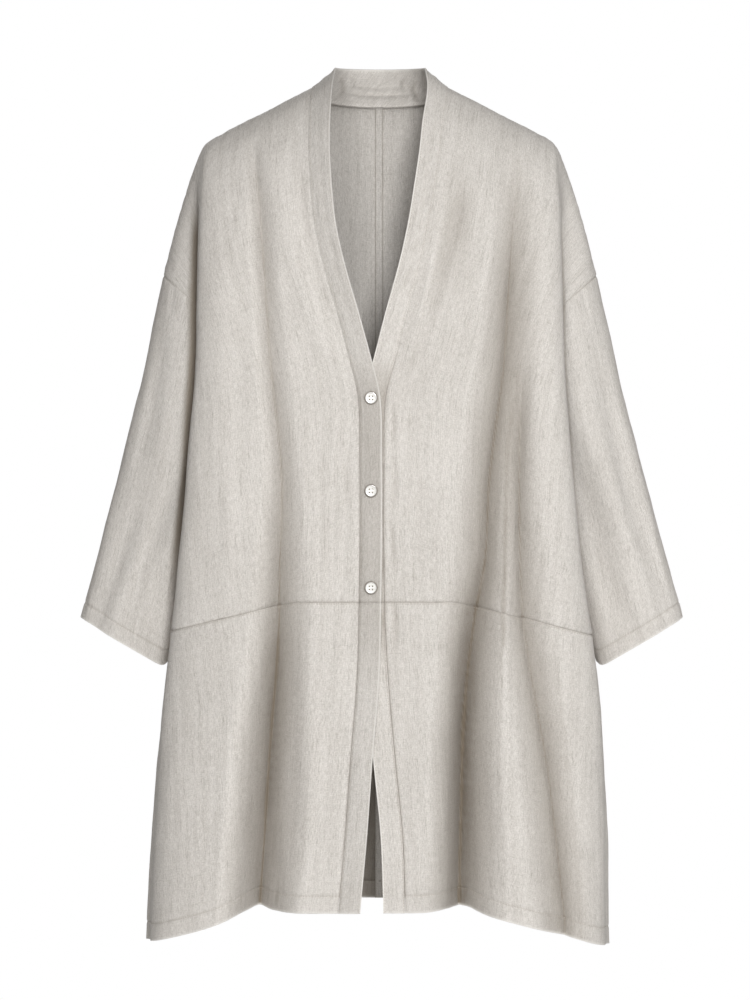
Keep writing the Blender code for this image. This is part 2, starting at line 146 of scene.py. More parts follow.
class Fold(NamedTuple):
    """A large fold, which swings sideways as it deepens and lifts the hem where it ends."""

    side: Side
    face: Face
    top_z: float
    top_x: float
    middle_x: float
    hem_x: float
    top_width: float
    hem_width: float
    skew: float
    top_depth: float
    hem_depth: float
    lift: float


class Valley(NamedTuple):
    """A place along the valley between two folds: how far it reaches to either side and how deep it is."""

    z: float
    x: float
    left_reach: float
    right_reach: float
    depth: float


class SleeveRing(NamedTuple):
    """The sleeve's outer and inner edge seen from the front."""

    along: float
    outer_x: float
    outer_z: float
    inner_x: float
    inner_z: float
    half_depth: float
    centre_y: float


class SleeveFold(NamedTuple):
    """A soft fold along a sleeve, at an angle in half turns from the outer edge over the front."""

    top_turn: float
    cuff_turn: float
    width: float
    depth: float


class Crease(NamedTuple):
    """A soft trough, or a ridge where the depth is negative, through three places seen from ahead."""

    start: Pair
    bend: Pair
    end: Pair
    width: float
    depth: float


class SleeveCrease(NamedTuple):
    """A soft trough or ridge on a sleeve: its ends in half turns and lengths of the sleeve."""

    start: Pair
    end: Pair
    width: float
    depth: float


def smooth_step(value: float) -> float:
    """An S-curve from 0 to 1."""
    held = min(1.0, max(0.0, value))
    return held * held * (3 - 2 * held)


def soft_steps(values: np.ndarray) -> np.ndarray:
    """An S-curve from 0 to 1 for an array."""
    held = np.clip(values, 0.0, 1.0)
    return held * held * (3 - 2 * held)


def pinch(away: Value, rounding: float = 0.002) -> Value:
    """The depth of a crevice between two rounded lobes: 1 in its middle, 0 from a distance of 1."""
    close = np.clip(1 - np.sqrt(np.square(away) + rounding), 0.0, 1.0)
    return 1 - np.sqrt(1 - close * close)


def mix(start: Value, end: Value, share: Value) -> Value:
    """A value or point between two others."""
    return start + (end - start) * share


def hermite(start: Value, end: Value, leave: Value, meet: Value, s: float) -> Value:
    """A cubic curve between two values or points.

    Args:
        start: Where the curve starts.
        end: Where it ends.
        leave: Its direction at the start.
        meet: Its direction at the end.
        s: The share of the way along.

    Returns:
        The value or point there.
    """
    first = start * (1 + 2 * s) * (1 - s) ** 2 + leave * s * (1 - s) ** 2
    return first + end * s * s * (3 - 2 * s) + meet * s * s * (s - 1)


class Curve:
    """A smooth curve through one column of a table."""

    def __init__(self, keys: Sequence[float], values: Sequence[float]) -> None:
        """Sorts the points and works out the slopes.

        Args:
            keys: The column that the curve depends on.
            values: The column that it follows.
        """
        order = np.argsort(keys)
        self.keys = [float(keys[i]) for i in order]
        self.values = [float(values[i]) for i in order]
        steps = np.diff(self.values) / np.diff(self.keys)
        self.slopes = [steps[0], *((steps[:-1] + steps[1:]) / 2), steps[-1]]
        self.known: dict[float, float] = {}

    def __call__(self, at: float) -> float:
        """The curve's value, kept for the next time it is asked for.

        Args:
            at: The key, held to the ends of the table.

        Returns:
            The value there.
        """
        if at not in self.known:
            held = min(self.keys[-1], max(self.keys[0], at))
            i = max(n for n in range(len(self.keys) - 1) if self.keys[n] <= held)
            span = self.keys[i + 1] - self.keys[i]
            ends = self.values[i], self.values[i + 1], self.slopes[i] * span, self.slopes[i + 1] * span
            self.known[at] = float(hermite(*ends, (held - self.keys[i]) / span))
        return self.known[at]


def curves_of(rows: Sequence[NamedTuple], key: str) -> dict[str, Curve]:
    """Curves through every column of a table.

    Args:
        rows: The table.
        key: The column that the others depend on.

    Returns:
        A curve for each other column, by its name.
    """
    keys = [getattr(row, key) for row in rows]
    columns = [name for name in rows[0]._fields if name != key]
    return {name: Curve(keys, [getattr(row, name) for row in rows]) for name in columns}


@dataclass
class CoatForm:
    """The coat's cloth surfaces, from its sizes in metres."""

    band_width: float = 0.026
    neck_point_x: float = 0.083
    neck_point_z: float = 0.006
    neck_seam_depth: float = 0.085
    neck_seam_dip: float = 0.0139
    neck_seam_flatness: float = 0.50
    neck_top_depth: float = 0.067
    neck_corner_z: float = 0.0304
    neck_back_z: float = 0.036
    band_bulge: float = 0.0012
    band_lean: float = 0.006
    band_rise_power: float = 3
    underlap_depth: float = 0.0045
    underlap_reach: float = 0.11
    underlap_onset: float = 0.7
    section_roundness: float = 2.6
    hollow_direction: Pair = (-0.8, 0.6)
    sweep_start: float = 0.32
    sweep_power: float = 1.1
    sweep_at_lobe: float = 0.88
    left_side_drop: float = 0.006
    underarm_dip: float = 0.030
    underarm_dip_levels: float = 0.35
    valley_depth: float = 0.012
    valley_foot: float = 0.70
    armhole_blend: float = 1.2
    neck_ease: float = 0.35
    neck_share: float = 0.36
    fold_middle_z: float = -0.50
    fold_foot_z: float = -0.98
    fold_onset: float = 0.2
    fold_power: float = 1.6
    valley_power: float = 1.7
    # Painted shade in the valleys, in the crevices beside the arms, on the closed front bands and inside the
    # back; the band seam settings also set how deep its groove is.
    shade_depth: float = 0.040
    shade_power: float = 1.3
    lobe_end: float = 1.05
    arm_shade_top: float = -0.12
    arm_shade_foot: float = -0.52
    arm_shade_fades: Pair = (0.06, 0.14)
    arm_levels: tuple[float, ...] = (0.3, 0.4, 0.6, 0.8, 1.0, 1.2, 1.5, 1.8, 2.1)
    closed_from: Pair = (0.95, 0.2)
    closed_to: Pair = (2.05, 0.25)
    underlap_mottle: Pair = (0.75, 0.6)
    mottle_pitch: float = 16
    skirt_shade_from: Pair = (1.6, 0.6)
    band_seam_from: Pair = (0.8, 0.4)
    skirt_shade: float = 1.25
    overlap_shade: float = 0.42
    underlap_shade: float = 0.9
    neckline_seam: float = 0.12
    lobe_hold: float = 6
    cuff_rise: float = 0.008
    cuff_rise_spread: float = 0.6
    sleeve_fold_at_cuff: float = 0.35
    sleeve_swing: dict[Side, float] = field(default_factory=lambda: {Side.RIGHT: -0.002, Side.LEFT: 0.0065})
    # Painted shade, on each side.
    valley_shade: dict[Side, float] = field(default_factory=lambda: {Side.RIGHT: 1.0, Side.LEFT: 1.35})
    arm_shade: dict[Side, float] = field(default_factory=lambda: {Side.RIGHT: 1.8, Side.LEFT: 1.2})
    arm_reach: dict[Side, Pair] = field(
        default_factory=lambda: {Side.RIGHT: (0.0055, 0.010), Side.LEFT: (0.0012, 0.004)}
    )

    def __post_init__(self) -> None:
        """Sets out the tables and the curves through them."""
        self.shoulder = curves_of(self.shoulder_rows(), "column")
        self.section = curves_of(self.section_rows(), "level")
        self.drape = curves_of(self.drape_rows(), "level")
        self.front_edge = curves_of(self.front_edge_rows(), "z")
        self.sleeve = curves_of(self.sleeve_rows(), "along")
        self.folds = self.fold_rows()
        self.valleys = [(side, face, curves_of(rows, "z")) for side, face, rows in self.valley_rows()]
        self.sleeve_folds = (
            SleeveFold(0.30, 0.24, 0.10, 0.006),
            SleeveFold(0.66, 0.58, 0.12, 0.008),
            SleeveFold(-0.45, -0.38, 0.12, 0.007),
        )
        self.lobe_edge = {side: self.edge_beside_arm(side) for side in Side}

    def shoulder_rows(self) -> tuple[ShoulderPoint, ...]:
        """The shoulder seam, over the bend of the shoulder to the armhole.

        Returns:
            The table.
        """
        return (
            ShoulderPoint(0.0, self.neck_point_x, self.neck_point_z),
            ShoulderPoint(0.4, 0.1340, -0.0205),
            ShoulderPoint(0.8, 0.1900, -0.0490),
            ShoulderPoint(1.0, 0.2115, -0.0630),
            ShoulderPoint(1.2, 0.2250, -0.0910),
            ShoulderPoint(1.6, 0.2462, -0.1565),
            ShoulderPoint(2.0, 0.2630, -0.2225),
        )

    def section_rows(self) -> tuple[Section, ...]:
        """Half sections of the body from the underarm to the hem.

        Returns:
            The table.
        """
        return (
            Section(1.00, -0.330, -0.3205, -0.330, -0.128, 0.2195, -0.084, 0.147, 0.000, 0.206, 0.084, 0.124),
            Section(1.30, -0.415, -0.4180, -0.418, -0.131, 0.2265, -0.084, 0.160, 0.002, 0.215, 0.084, 0.127),
            Section(1.70, -0.530, -0.5500, -0.545, -0.134, 0.2385, -0.078, 0.197, 0.003, 0.231, 0.079, 0.130),
            Section(2.00, -0.614, -0.6540, -0.640, -0.136, 0.2515, -0.068, 0.230, 0.002, 0.245, 0.070, 0.132),
            Section(2.25, -0.706, -0.7480, -0.730, -0.137, 0.2625, -0.056, 0.258, 0.000, 0.258, 0.058, 0.133),
            Section(2.60, -0.834, -0.8780, -0.855, -0.138, 0.2690, -0.052, 0.272, 0.000, 0.267, 0.056, 0.134),
            Section(3.00, -0.980, -1.0255, -0.990, -0.139, 0.2730, -0.052, 0.278, 0.000, 0.272, 0.056, 0.135),
        )

    def drape_rows(self) -> tuple[Drape, ...]:
        """How the sides sink and sway from the underarm to the hem.

        Returns:
            The table.
        """
        return (
            Drape(1.00, 0.014, 0.0),
            Drape(1.70, 0.009, 0.0),
            Drape(2.00, 0.005, 0.002),
            Drape(2.25, -0.002, 0.002),
            Drape(2.60, -0.004, 0.0),
            Drape(3.00, -0.005, -0.0025),
        )

    def front_edge_rows(self) -> tuple[FrontEdge, ...]:
        """The free edges of the fronts, which cross at the foot of the neckline and part below the waist.

        Returns:
            The table, from the neck down.
        """
        neck_x = self.neck_point_x - self.band_width
        return (
            FrontEdge(self.neck_corner_z, -0.0534, 0.0546),
            FrontEdge(self.neck_point_z, -neck_x, neck_x),
            FrontEdge(-0.0426, -0.0595, 0.0503),
            FrontEdge(-0.0780, -0.0595, 0.0465),
            FrontEdge(-0.1220, -0.0569, 0.0400),
            FrontEdge(-0.1650, -0.0523, 0.0330),
            FrontEdge(-0.2100, -0.0428, 0.0232),
            FrontEdge(-0.2770, -0.0237, 0.0050),
            FrontEdge(-0.3270, -0.0103, -0.0077),
            FrontEdge(-0.3680, -0.0005, -0.0185),
            FrontEdge(-0.4500, 0.0020, -0.0215),
            FrontEdge(-0.6200, 0.0010, -0.0205),
            FrontEdge(-0.7000, -0.0010, -0.0165),
            FrontEdge(-0.8000, -0.0090, -0.0080),
            FrontEdge(-0.8900, -0.0155, 0.0008),
            FrontEdge(-0.9850, -0.0240, 0.0040),
        )

    def fold_rows(self) -> tuple[Fold, ...]:
        """The folds that lift the hem.

        Returns:
            The table.
        """
        right, left = Side.RIGHT, Side.LEFT
        front, back = Face.FRONT, Face.BACK
        return (
            Fold(right, front, -0.06, -0.145, -0.119, -0.146, 0.018, 0.034, 0.60, 0.003, 0.042, 0.20),
            Fold(left, front, -0.09, 0.162, 0.128, 0.102, 0.022, 0.034, 0.60, 0.006, 0.038, 0.08),
            Fold(right, back, -0.10, -0.120, -0.128, -0.148, 0.022, 0.034, 0.80, 0.003, 0.036, 0.20),
            Fold(left, back, -0.10, 0.105, 0.122, 0.136, 0.022, 0.032, 1.20, 0.003, 0.034, 0.20),
            Fold(right, back, -0.62, -0.060, -0.056, -0.050, 0.018, 0.028, 1.00, 0.000, 0.016, 0.10),
        )

    def valley_rows(self) -> tuple[tuple[Side, Face, tuple[Valley, ...]], ...]:
        """The valleys between the largest folds.

        Returns:
            The side and face of each, and its table from the top down.
        """
        front_right = (
            Valley(-0.060, -0.1530, 0.014, 0.014, 0.000),
            Valley(-0.140, -0.1436, 0.018, 0.018, 0.012),
            Valley(-0.330, -0.1295, 0.020, 0.022, 0.014),
            Valley(-0.470, -0.1160, 0.026, 0.026, 0.020),
            Valley(-0.560, -0.1185, 0.034, 0.036, 0.028),
            Valley(-0.670, -0.1210, 0.040, 0.042, 0.040),
            Valley(-0.764, -0.1295, 0.046, 0.050, 0.052),
            Valley(-0.859, -0.1360, 0.050, 0.056, 0.062),
            Valley(-0.990, -0.1440, 0.052, 0.052, 0.070),
        )
        front_left = (
            Valley(-0.075, 0.1660, 0.020, 0.020, 0.000),
            Valley(-0.140, 0.1600, 0.030, 0.030, 0.014),
            Valley(-0.234, 0.1530, 0.034, 0.042, 0.027),
            Valley(-0.330, 0.1470, 0.040, 0.046, 0.031),
            Valley(-0.470, 0.1295, 0.044, 0.040, 0.034),
            Valley(-0.564, 0.1248, 0.046, 0.034, 0.037),
            Valley(-0.635, 0.1120, 0.046, 0.040, 0.043),
            Valley(-0.764, 0.0989, 0.042, 0.052, 0.056),
            Valley(-0.859, 0.0965, 0.042, 0.056, 0.065),
            Valley(-0.990, 0.0940, 0.044, 0.056, 0.071),
        )
        front_left_side = (
            Valley(-0.330, 0.1680, 0.016, 0.020, 0.000),
            Valley(-0.400, 0.1665, 0.022, 0.024, 0.019),
            Valley(-0.520, 0.1650, 0.026, 0.032, 0.026),
            Valley(-0.635, 0.1690, 0.028, 0.040, 0.027),
            Valley(-0.717, 0.1815, 0.034, 0.040, 0.027),
            Valley(-0.811, 0.1980, 0.040, 0.036, 0.029),
            Valley(-0.990, 0.2190, 0.044, 0.034, 0.031),
        )
        back_right = (
            Valley(-0.100, -0.1200, 0.020, 0.020, 0.000),
            Valley(-0.300, -0.1260, 0.030, 0.028, 0.010),
            Valley(-0.500, -0.1280, 0.034, 0.036, 0.018),
            Valley(-0.750, -0.1380, 0.044, 0.046, 0.032),
            Valley(-0.995, -0.1480, 0.050, 0.054, 0.048),
        )
        back_left = (
            Valley(-0.100, 0.1050, 0.020, 0.020, 0.000),
            Valley(-0.300, 0.1140, 0.028, 0.030, 0.011),
            Valley(-0.500, 0.1220, 0.036, 0.032, 0.017),
            Valley(-0.750, 0.1290, 0.042, 0.048, 0.033),
            Valley(-0.995, 0.1360, 0.054, 0.050, 0.046),
        )
        back_right_centre = (
            Valley(-0.600, -0.0600, 0.018, 0.020, 0.000),
            Valley(-0.800, -0.0540, 0.032, 0.030, 0.010),
            Valley(-0.995, -0.0500, 0.038, 0.034, 0.022),
        )
        back_left_side = (
            Valley(-0.560, 0.2050, 0.020, 0.018, 0.000),
            Valley(-0.750, 0.2120, 0.030, 0.028, 0.008),
            Valley(-0.995, 0.2200, 0.034, 0.032, 0.016),
        )
        return (
            (Side.RIGHT, Face.FRONT, front_right),
            (Side.LEFT, Face.FRONT, front_left),
            (Side.LEFT, Face.FRONT, front_left_side),
            (Side.RIGHT, Face.BACK, back_right),
            (Side.LEFT, Face.BACK, back_left),
            (Side.RIGHT, Face.BACK, back_right_centre),
            (Side.LEFT, Face.BACK, back_left_side),
        )

    def sleeve_rows(self) -> tuple[SleeveRing, ...]:
        """The sleeve's rings from the armhole to the cuff.

        Returns:
            The table.
        """
        return (
            SleeveRing(0.00, 0.2630, -0.2225, 0.1470, -0.3205, 0.056, 0.000),
            SleeveRing(0.30, 0.2885, -0.3450, 0.1825, -0.4320, 0.053, 0.003),
            SleeveRing(0.65, 0.3240, -0.4900, 0.2215, -0.5645, 0.047, 0.007),
            SleeveRing(1.00, 0.3614, -0.6355, 0.2565, -0.6977, 0.041, 0.010),
        )

    def edge_x(self, side: Side, z: float) -> float:
        """Where the free edge of a front lies at a height."""
        return self.front_edge["right_x" if side is Side.RIGHT else "left_x"](z)

    def shoulder_point(self, side: Side, column: float) -> np.ndarray:
        """A point on the shoulder seam."""
        return np.array((side.value * self.shoulder["x"](column), 0.0, self.shoulder["z"](column)))

    def ring_point(self, side: Side, half_turns: float, along: float) -> np.ndarray:
        """A point on a sleeve.

        Args:
            side: Which sleeve.
            half_turns: 0 at the outer edge, 1 at the inner edge, negative round the back.
            along: 0 at the armhole, 1 at the cuff.

        Returns:
            The point.
        """
        turn = math.pi * half_turns
        out = (1 + math.cos(turn)) / 2
        x = mix(self.sleeve["inner_x"](along), self.sleeve["outer_x"](along), out)
        z = mix(self.sleeve["inner_z"](along), self.sleeve["outer_z"](along), out)
        inner = 1 - smooth_step(math.sin(turn) / self.cuff_rise_spread)
        z += self.cuff_rise * along * (1 - out) ** 2 * inner
        depth = self.sleeve["half_depth"](along)
        fold_share = mix(math.sin(math.pi * min(along, 1.0)), along, self.sleeve_fold_at_cuff)
        for fold in self.sleeve_folds:
            away = (half_turns - mix(fold.top_turn, fold.cuff_turn, along) + 1) % 2 - 1
            depth -= fold.depth * fold_share * math.exp(-((away / fold.width) ** 2))
        y = self.sleeve["centre_y"](along) - depth * math.sin(turn)
        return np.array((side.value * x + self.sleeve_swing[side] * along, y, z))

    def valleys_at(self, side: Side, face: Face, x: float, z: float) -> list[Pair]:
        """Finds the valleys that reach a place.

        Args:
            side: Which half of the body.
            face: Its front or back.
            x: The place across.
            z: Its height.

        Returns:
            How deep each valley is, and how close the place lies to its middle, from 0 to 1.
        """
        found = []
        for valley_side, valley_face, curves in self.valleys:
            if valley_side is side and valley_face is face:
                away = x - curves["x"](z)
                close = 1 - abs(away) / curves["right_reach" if away > 0 else "left_reach"](z)
                if close > 0:
                    found.append((max(0.0, curves["depth"](z)), close))
        return found

    def valley_press(self, side: Side, face: Face, x: float, z: float) -> float:
        """How far the valleys between the folds press the cloth in at a place."""
        return sum(depth * close**self.valley_power for depth, close in self.valleys_at(side, face, x, z))

    def body_hollow(self, side: Side, face: Face, column: float, point: np.ndarray) -> float:
        """How far painted shade darkens a place on the body in a valley between folds or between body and arm.

        Args:
            side: Which half of the body.
            face: Its front or back.
            column: The place's column.
            point: The place.

        Returns:
            The share of painted shade, from 0 up.
        """
        valleys = self.valleys_at(side, face, point[0], point[2])
        deep = sum(min(1.0, depth / self.shade_depth) * close**self.shade_power for depth, close in valleys)
        beside_arm = self.arm_hollow(side, point) if face is Face.FRONT and column > self.lobe_end else 0.0
        return max(deep * self.valley_shade[side], beside_arm)

    def arm_hollow(self, side: Side, point: np.ndarray) -> float:
        """How far painted shade, standing in for the shadow of the body's fold, darkens the crevice between the
        fold and the arm.

        Args:
            side: Which arm.
            point: The place.

        Returns:
            The share of painted shade, from 0 up.
        """
        gap = side.value * (point[0] - self.lobe_edge[side](point[2]))
        solid, fade = self.arm_reach[side]
        down = smooth_step((self.arm_shade_top - point[2]) / self.arm_shade_fades[0])
        down *= 1 - smooth_step((self.arm_shade_foot - point[2]) / self.arm_shade_fades[1])
        return self.arm_shade[side] * (1 - smooth_step((gap - solid) / fade)) * down

    def edge_beside_arm(self, side: Side) -> Curve:
        """How far out the body's fold beside the arm reaches at each height."""
        points = [self.front_point(side, 1.0, level) for level in self.arm_levels]
        return Curve([point[2] for point in points], [point[0] for point in points])

    def sleeve_hollow(self, side: Side, turn: float, point: np.ndarray) -> float:
        """How far painted shade darkens a place on a sleeve in the crevice between the body's fold and the arm,
        from 0 up.
        """
        return self.arm_hollow(side, point) if turn > 0 else 0.0

    def placket_shade(self, side: Side, level: float) -> float:
        """How far painted shade darkens the closed part of a front band.

        Args:
            side: Which band: the right one laps over the left one.
            level: The level.

        Returns:
            The share of painted shade, uneven on the left band.
        """
        closed = self.reached(level, self.closed_from) * (1 - self.reached(level, self.closed_to))
        if side is Side.RIGHT:
            return closed * self.overlap_shade
        base, depth = self.underlap_mottle
        shade_mottle = base + depth * noise.noise(Vector((level * self.mottle_pitch, 0.5, 0.0)))
        return closed * self.underlap_shade * shade_mottle

    def reached(self, level: float, span: Pair) -> float:
        """How far a level has come past the start of a span, which has a start and a length."""
        return smooth_step((level - span[0]) / span[1])

    def inside_shade(self, level: float) -> float:
        """How far painted shade darkens the inside of the back: not at the neck, well below the waist."""
        return self.skirt_shade * self.reached(level, self.skirt_shade_from)

    def band_seam_share(self, level: float) -> float:
        """How strongly the seam of a front band shows, as a groove and as a line of painted shade: faintly
        along the neckline, clearly below it.
        """
        return mix(self.neckline_seam, 1.0, self.reached(level, self.band_seam_from))

    def hem_lift(self, side: Side, face: Face, x: float, z: float) -> float:
        """How far the folds lift the hem at a place.

        Args:
            side: Which half of the body.
            face: Its front or back.
            x: The place across.
            z: Its height.

        Returns:
            The lift.
        """
        lift = 0.0
        for fold in self.folds:
            if fold.side is not side or fold.face is not face or z > fold.top_z:
                continue
            down = min(1.0, (fold.top_z - z) / (fold.top_z - self.fold_foot_z))
            below = min(1.0, max(0.0, (self.fold_middle_z - z) / (self.fold_middle_z - self.fold_foot_z)))
            above = 1.0 if below > 0 else (fold.top_z - z) / (fold.top_z - self.fold_middle_z)
            centre = mix(fold.top_x, fold.middle_x, smooth_step(above)) + (fold.hem_x - fold.middle_x) * below
            width = mix(fold.top_width, fold.hem_width, down)
            depth = fold.top_depth * smooth_step(down / self.fold_onset)
            depth += (fold.hem_depth - fold.top_depth) * down**self.fold_power
            away = (x - centre) / (width * (fold.skew if x > centre else 1 / fold.skew))
            lift += depth * math.exp(-2 * away * away) * fold.lift
        return lift

    def section_height(self, side: Side, face: Face, column: float, level: float) -> float:
        """How high a place on a body section lies: level near the centre, then sweeping down to the side.

        Args:
            side: Which half of the body.
            face: Its front or back.
            column: The place's column.
            level: Its level.

        Returns:
            The height.
        """
        middle_z = self.section["front_z" if face is Face.FRONT else "back_z"](level)
        side_z = self.section["side_z"](level)
        if side is Side.LEFT:
            side_z -= self.left_side_drop * smooth_step(level - 1)
        past_start = max(0.0, min(column, 1.0) - self.sweep_start) / (1 - self.sweep_start)
        sweep = self.sweep_at_lobe * past_start**self.sweep_power
        sweep += (1 - self.sweep_at_lobe) * max(0.0, column - 1)
        dip = 0.0
        if column > 1:
            dip = self.underarm_dip * (1 - smooth_step((level - 1) / self.underarm_dip_levels))
        return mix(middle_z, side_z, sweep) - dip * math.sin(math.pi * (column - 1))

    def pressed(self, side: Side, face: Face, column: float, point: np.ndarray) -> np.ndarray:
        """Moves a point of the plain form in by the valleys between the folds.

        Args:
            side: Which half of the body.
            face: Its front or back.
            column: The point's column.
            point: The point.

        Returns:
            The moved point.
        """
        if column < 1:
            held = 1 - column**self.lobe_hold
            point[1] -= face.value * held * self.valley_press(side, face, point[0], point[2])
        return point

    def section_point(self, side: Side, face: Face, column: float, level: float) -> np.ndarray:
        """A point on a plain body section from the underarm down.

        Args:
            side: Which half of the body.
            face: Its front or back.
            column: The point's column.
            level: Its level, from 1 up.

        Returns:
            The point.
        """
        front = face is Face.FRONT
        lobe_names = ("lobe_x", "lobe_y") if front else ("rear_x", "rear_y")
        lobe = np.array([self.section[name](level) for name in lobe_names])
        z = self.section_height(side, face, column, level)
        sway = self.drape["sway"](level)
        if column <= 1:
            middle_y = self.section["front_y" if front else "back_y"](level)
            start_x = 0.0
            if front:
                start_x = side.value * self.edge_x(side, self.section["front_z"](level)) + self.band_width
            x = side.value * mix(start_x, lobe[0], column)
            roundness = self.section_roundness
            y = mix(lobe[1], middle_y, (1 - column**roundness) ** (1 / roundness))
            lift = self.hem_lift(side, face, x, z) * (1 - column**self.lobe_hold)
            return np.array((x + sway * column, y, z + lift * smooth_step(level - 2)))
        seam = np.array((self.section["seam_x"](level), self.section["seam_y"](level)))
        groove = (lobe + seam) / 2
        groove += self.drape["hollow"](level) * np.array(self.hollow_direction) * (1, face.value)
        turn_in = np.array((0.0, seam[1] - lobe[1])) / 2
        along_side = (seam - lobe) / 2
        half = (column - 1) * 2
        if half < 1:
            x, y = hermite(lobe, groove, turn_in, along_side, half)
        else:
            x, y = hermite(groove, seam, along_side, turn_in, half - 1)
        return np.array((side.value * x + sway, y, z))

    def fall(self, top: np.ndarray, foot: np.ndarray, level: float, ease: float = 1.0) -> np.ndarray:
        """A quarter ellipse from the top of the shoulder out and down to the underarm section.

        Args:
            top: The point on the shoulder or neck seam.
            foot: The point at the underarm.
            level: The share of the way down.
            ease: How fast the cloth moves out: less than 1 is faster.

        Returns:
            The point.
        """
        angle = math.pi / 2 * level
        out, down = math.sin(angle) ** ease, 1 - math.cos(angle)
        return mix(top, foot, np.array(((out + down) / 2, out, down)))

    def shoulder_cap(self, side: Side, face: Face, column: float, level: float) -> np.ndarray:
        """How a place beside the arm is moved to meet the armhole, with a soft valley before it.

        Args:
            side: Which half of the body.
            face: Its front or back.
            column: The place's column, from 1 to 2.
            level: Its level, from 0 to 1.

        Returns:
            The movement.
        """
        end = self.fall(self.shoulder_point(side, 2), self.section_point(side, face, 2, 1.0), level)
        round_side = column - 1
        armhole = self.ring_point(side, -face.value * level, 0.0)
        moved = (armhole - end) * round_side**self.armhole_blend
        sunk = math.sin(math.pi * min(1.0, level / self.valley_foot)) ** 2 * math.sin(math.pi * round_side)
        moved[1] -= face.value * self.valley_depth * sunk
        return moved

    def front_point(self, side: Side, column: float, level: float) -> np.ndarray:
        """A point on the outer surface of a front.

        Args:
            side: Which front.
            column: The point's column.
            level: Its level.

        Returns:
            The point.
        """
        if level >= 1:
            point = self.section_point(side, Face.FRONT, column, level)
        else:
            foot = self.section_point(side, Face.FRONT, column, 1.0)
            point = self.fall(self.shoulder_point(side, column), foot, level)
            if column > 1:
                point += self.shoulder_cap(side, Face.FRONT, column, level)
            else:
                seam_foot = self.section_point(side, Face.FRONT, 0, 1.0)
                edge = self.fall(self.shoulder_point(side, 0), seam_foot, level)
                band_seam_x = self.edge_x(side, edge[2]) + side.value * self.band_width
                point[0] += (band_seam_x - edge[0]) * (1 - column) ** 2
        point = self.pressed(side, Face.FRONT, column, point)
        if side is Side.LEFT:
            near_centre = 1 - smooth_step(point[0] / self.underlap_reach)
            point[1] += self.underlap_depth * near_centre * smooth_step(level / self.underlap_onset)
        return point

    def neck_seam_point(self, side: Side, along: float) -> np.ndarray:
        """A point on the back neck seam.

        Args:
            side: Which half of the seam.
            along: 0 at the centre back, 1 at the shoulder seam.

        Returns:
            The point.
        """
        angle = math.pi / 2 * (1 - along)
        dip = self.neck_seam_dip * math.sin(angle) ** self.neck_seam_flatness
        x = side.value * self.neck_point_x * math.cos(angle)
        return np.array((x, self.neck_seam_depth * math.sin(angle), self.neck_point_z - dip))

    def back_point(self, side: Side, place: float, level: float) -> np.ndarray:
        """A point on the outer surface of a back.

        Args:
            side: Which half of the back.
            place: -1 at the centre, 0 at the neck point, 1 at the fold behind the arm, 2 at the side.
            level: The level.

        Returns:
            The point.
        """
        column = place
        if place <= 1:
            column = mix(self.neck_share, 1, place) if place > 0 else self.neck_share * (place + 1)
        if level >= 1:
            return self.pressed(side, Face.BACK, column, self.section_point(side, Face.BACK, column, level))
        top = self.shoulder_point(side, place) if place > 0 else self.neck_seam_point(side, place + 1)
        ease = 1 - self.neck_ease * max(0.0, 1 - place * place) ** 2
        point = self.fall(top, self.section_point(side, Face.BACK, column, 1.0), level, ease)
        if place > 1:
            point += self.shoulder_cap(side, Face.BACK, place, level)
        return self.pressed(side, Face.BACK, column, point)

    def band_point(self, side: Side, across: float, level: float) -> np.ndarray:
        """A point on a front band.

        Args:
            side: Which band.
            across: 0 at its seam, 1 at the free edge of the coat.
            level: The level.

        Returns:
            The point.
        """
        seam = self.front_point(side, 0, level)
        above_chest = max(0.0, 1 - level)
        free_z = seam[2] + (self.neck_corner_z - self.neck_point_z) * above_chest**self.band_rise_power
        free_y = seam[1] - self.band_lean * math.sin(math.pi * above_chest)
        point = mix(seam, np.array((self.edge_x(side, free_z), free_y, free_z)), across)
        point[1] -= self.band_bulge * math.sin(math.pi * across) * smooth_step(2 * level)
        return point

    def neck_band_point(self, around: float, up: float) -> np.ndarray:
        """A point on the standing neck band.

        Args:
            around: -1 at the right shoulder, 0 at the centre back, 1 at the left shoulder.
            up: 0 at the neck seam, 1 at the top edge.

        Returns:
            The point.
        """
        side = Side.RIGHT if around < 0 else Side.LEFT
        if abs(around) == 1:
            return self.band_point(side, up, 0.0)
        corner = self.band_point(side, 1.0, 0.0)
        angle = math.pi / 2 * (1 - abs(around))
        top_z = mix(corner[2], self.neck_back_z, math.sin(angle))
        top = np.array((corner[0] * math.cos(angle), self.neck_top_depth * math.sin(angle), top_z))
        return mix(self.neck_seam_point(side, abs(around)), top, up)


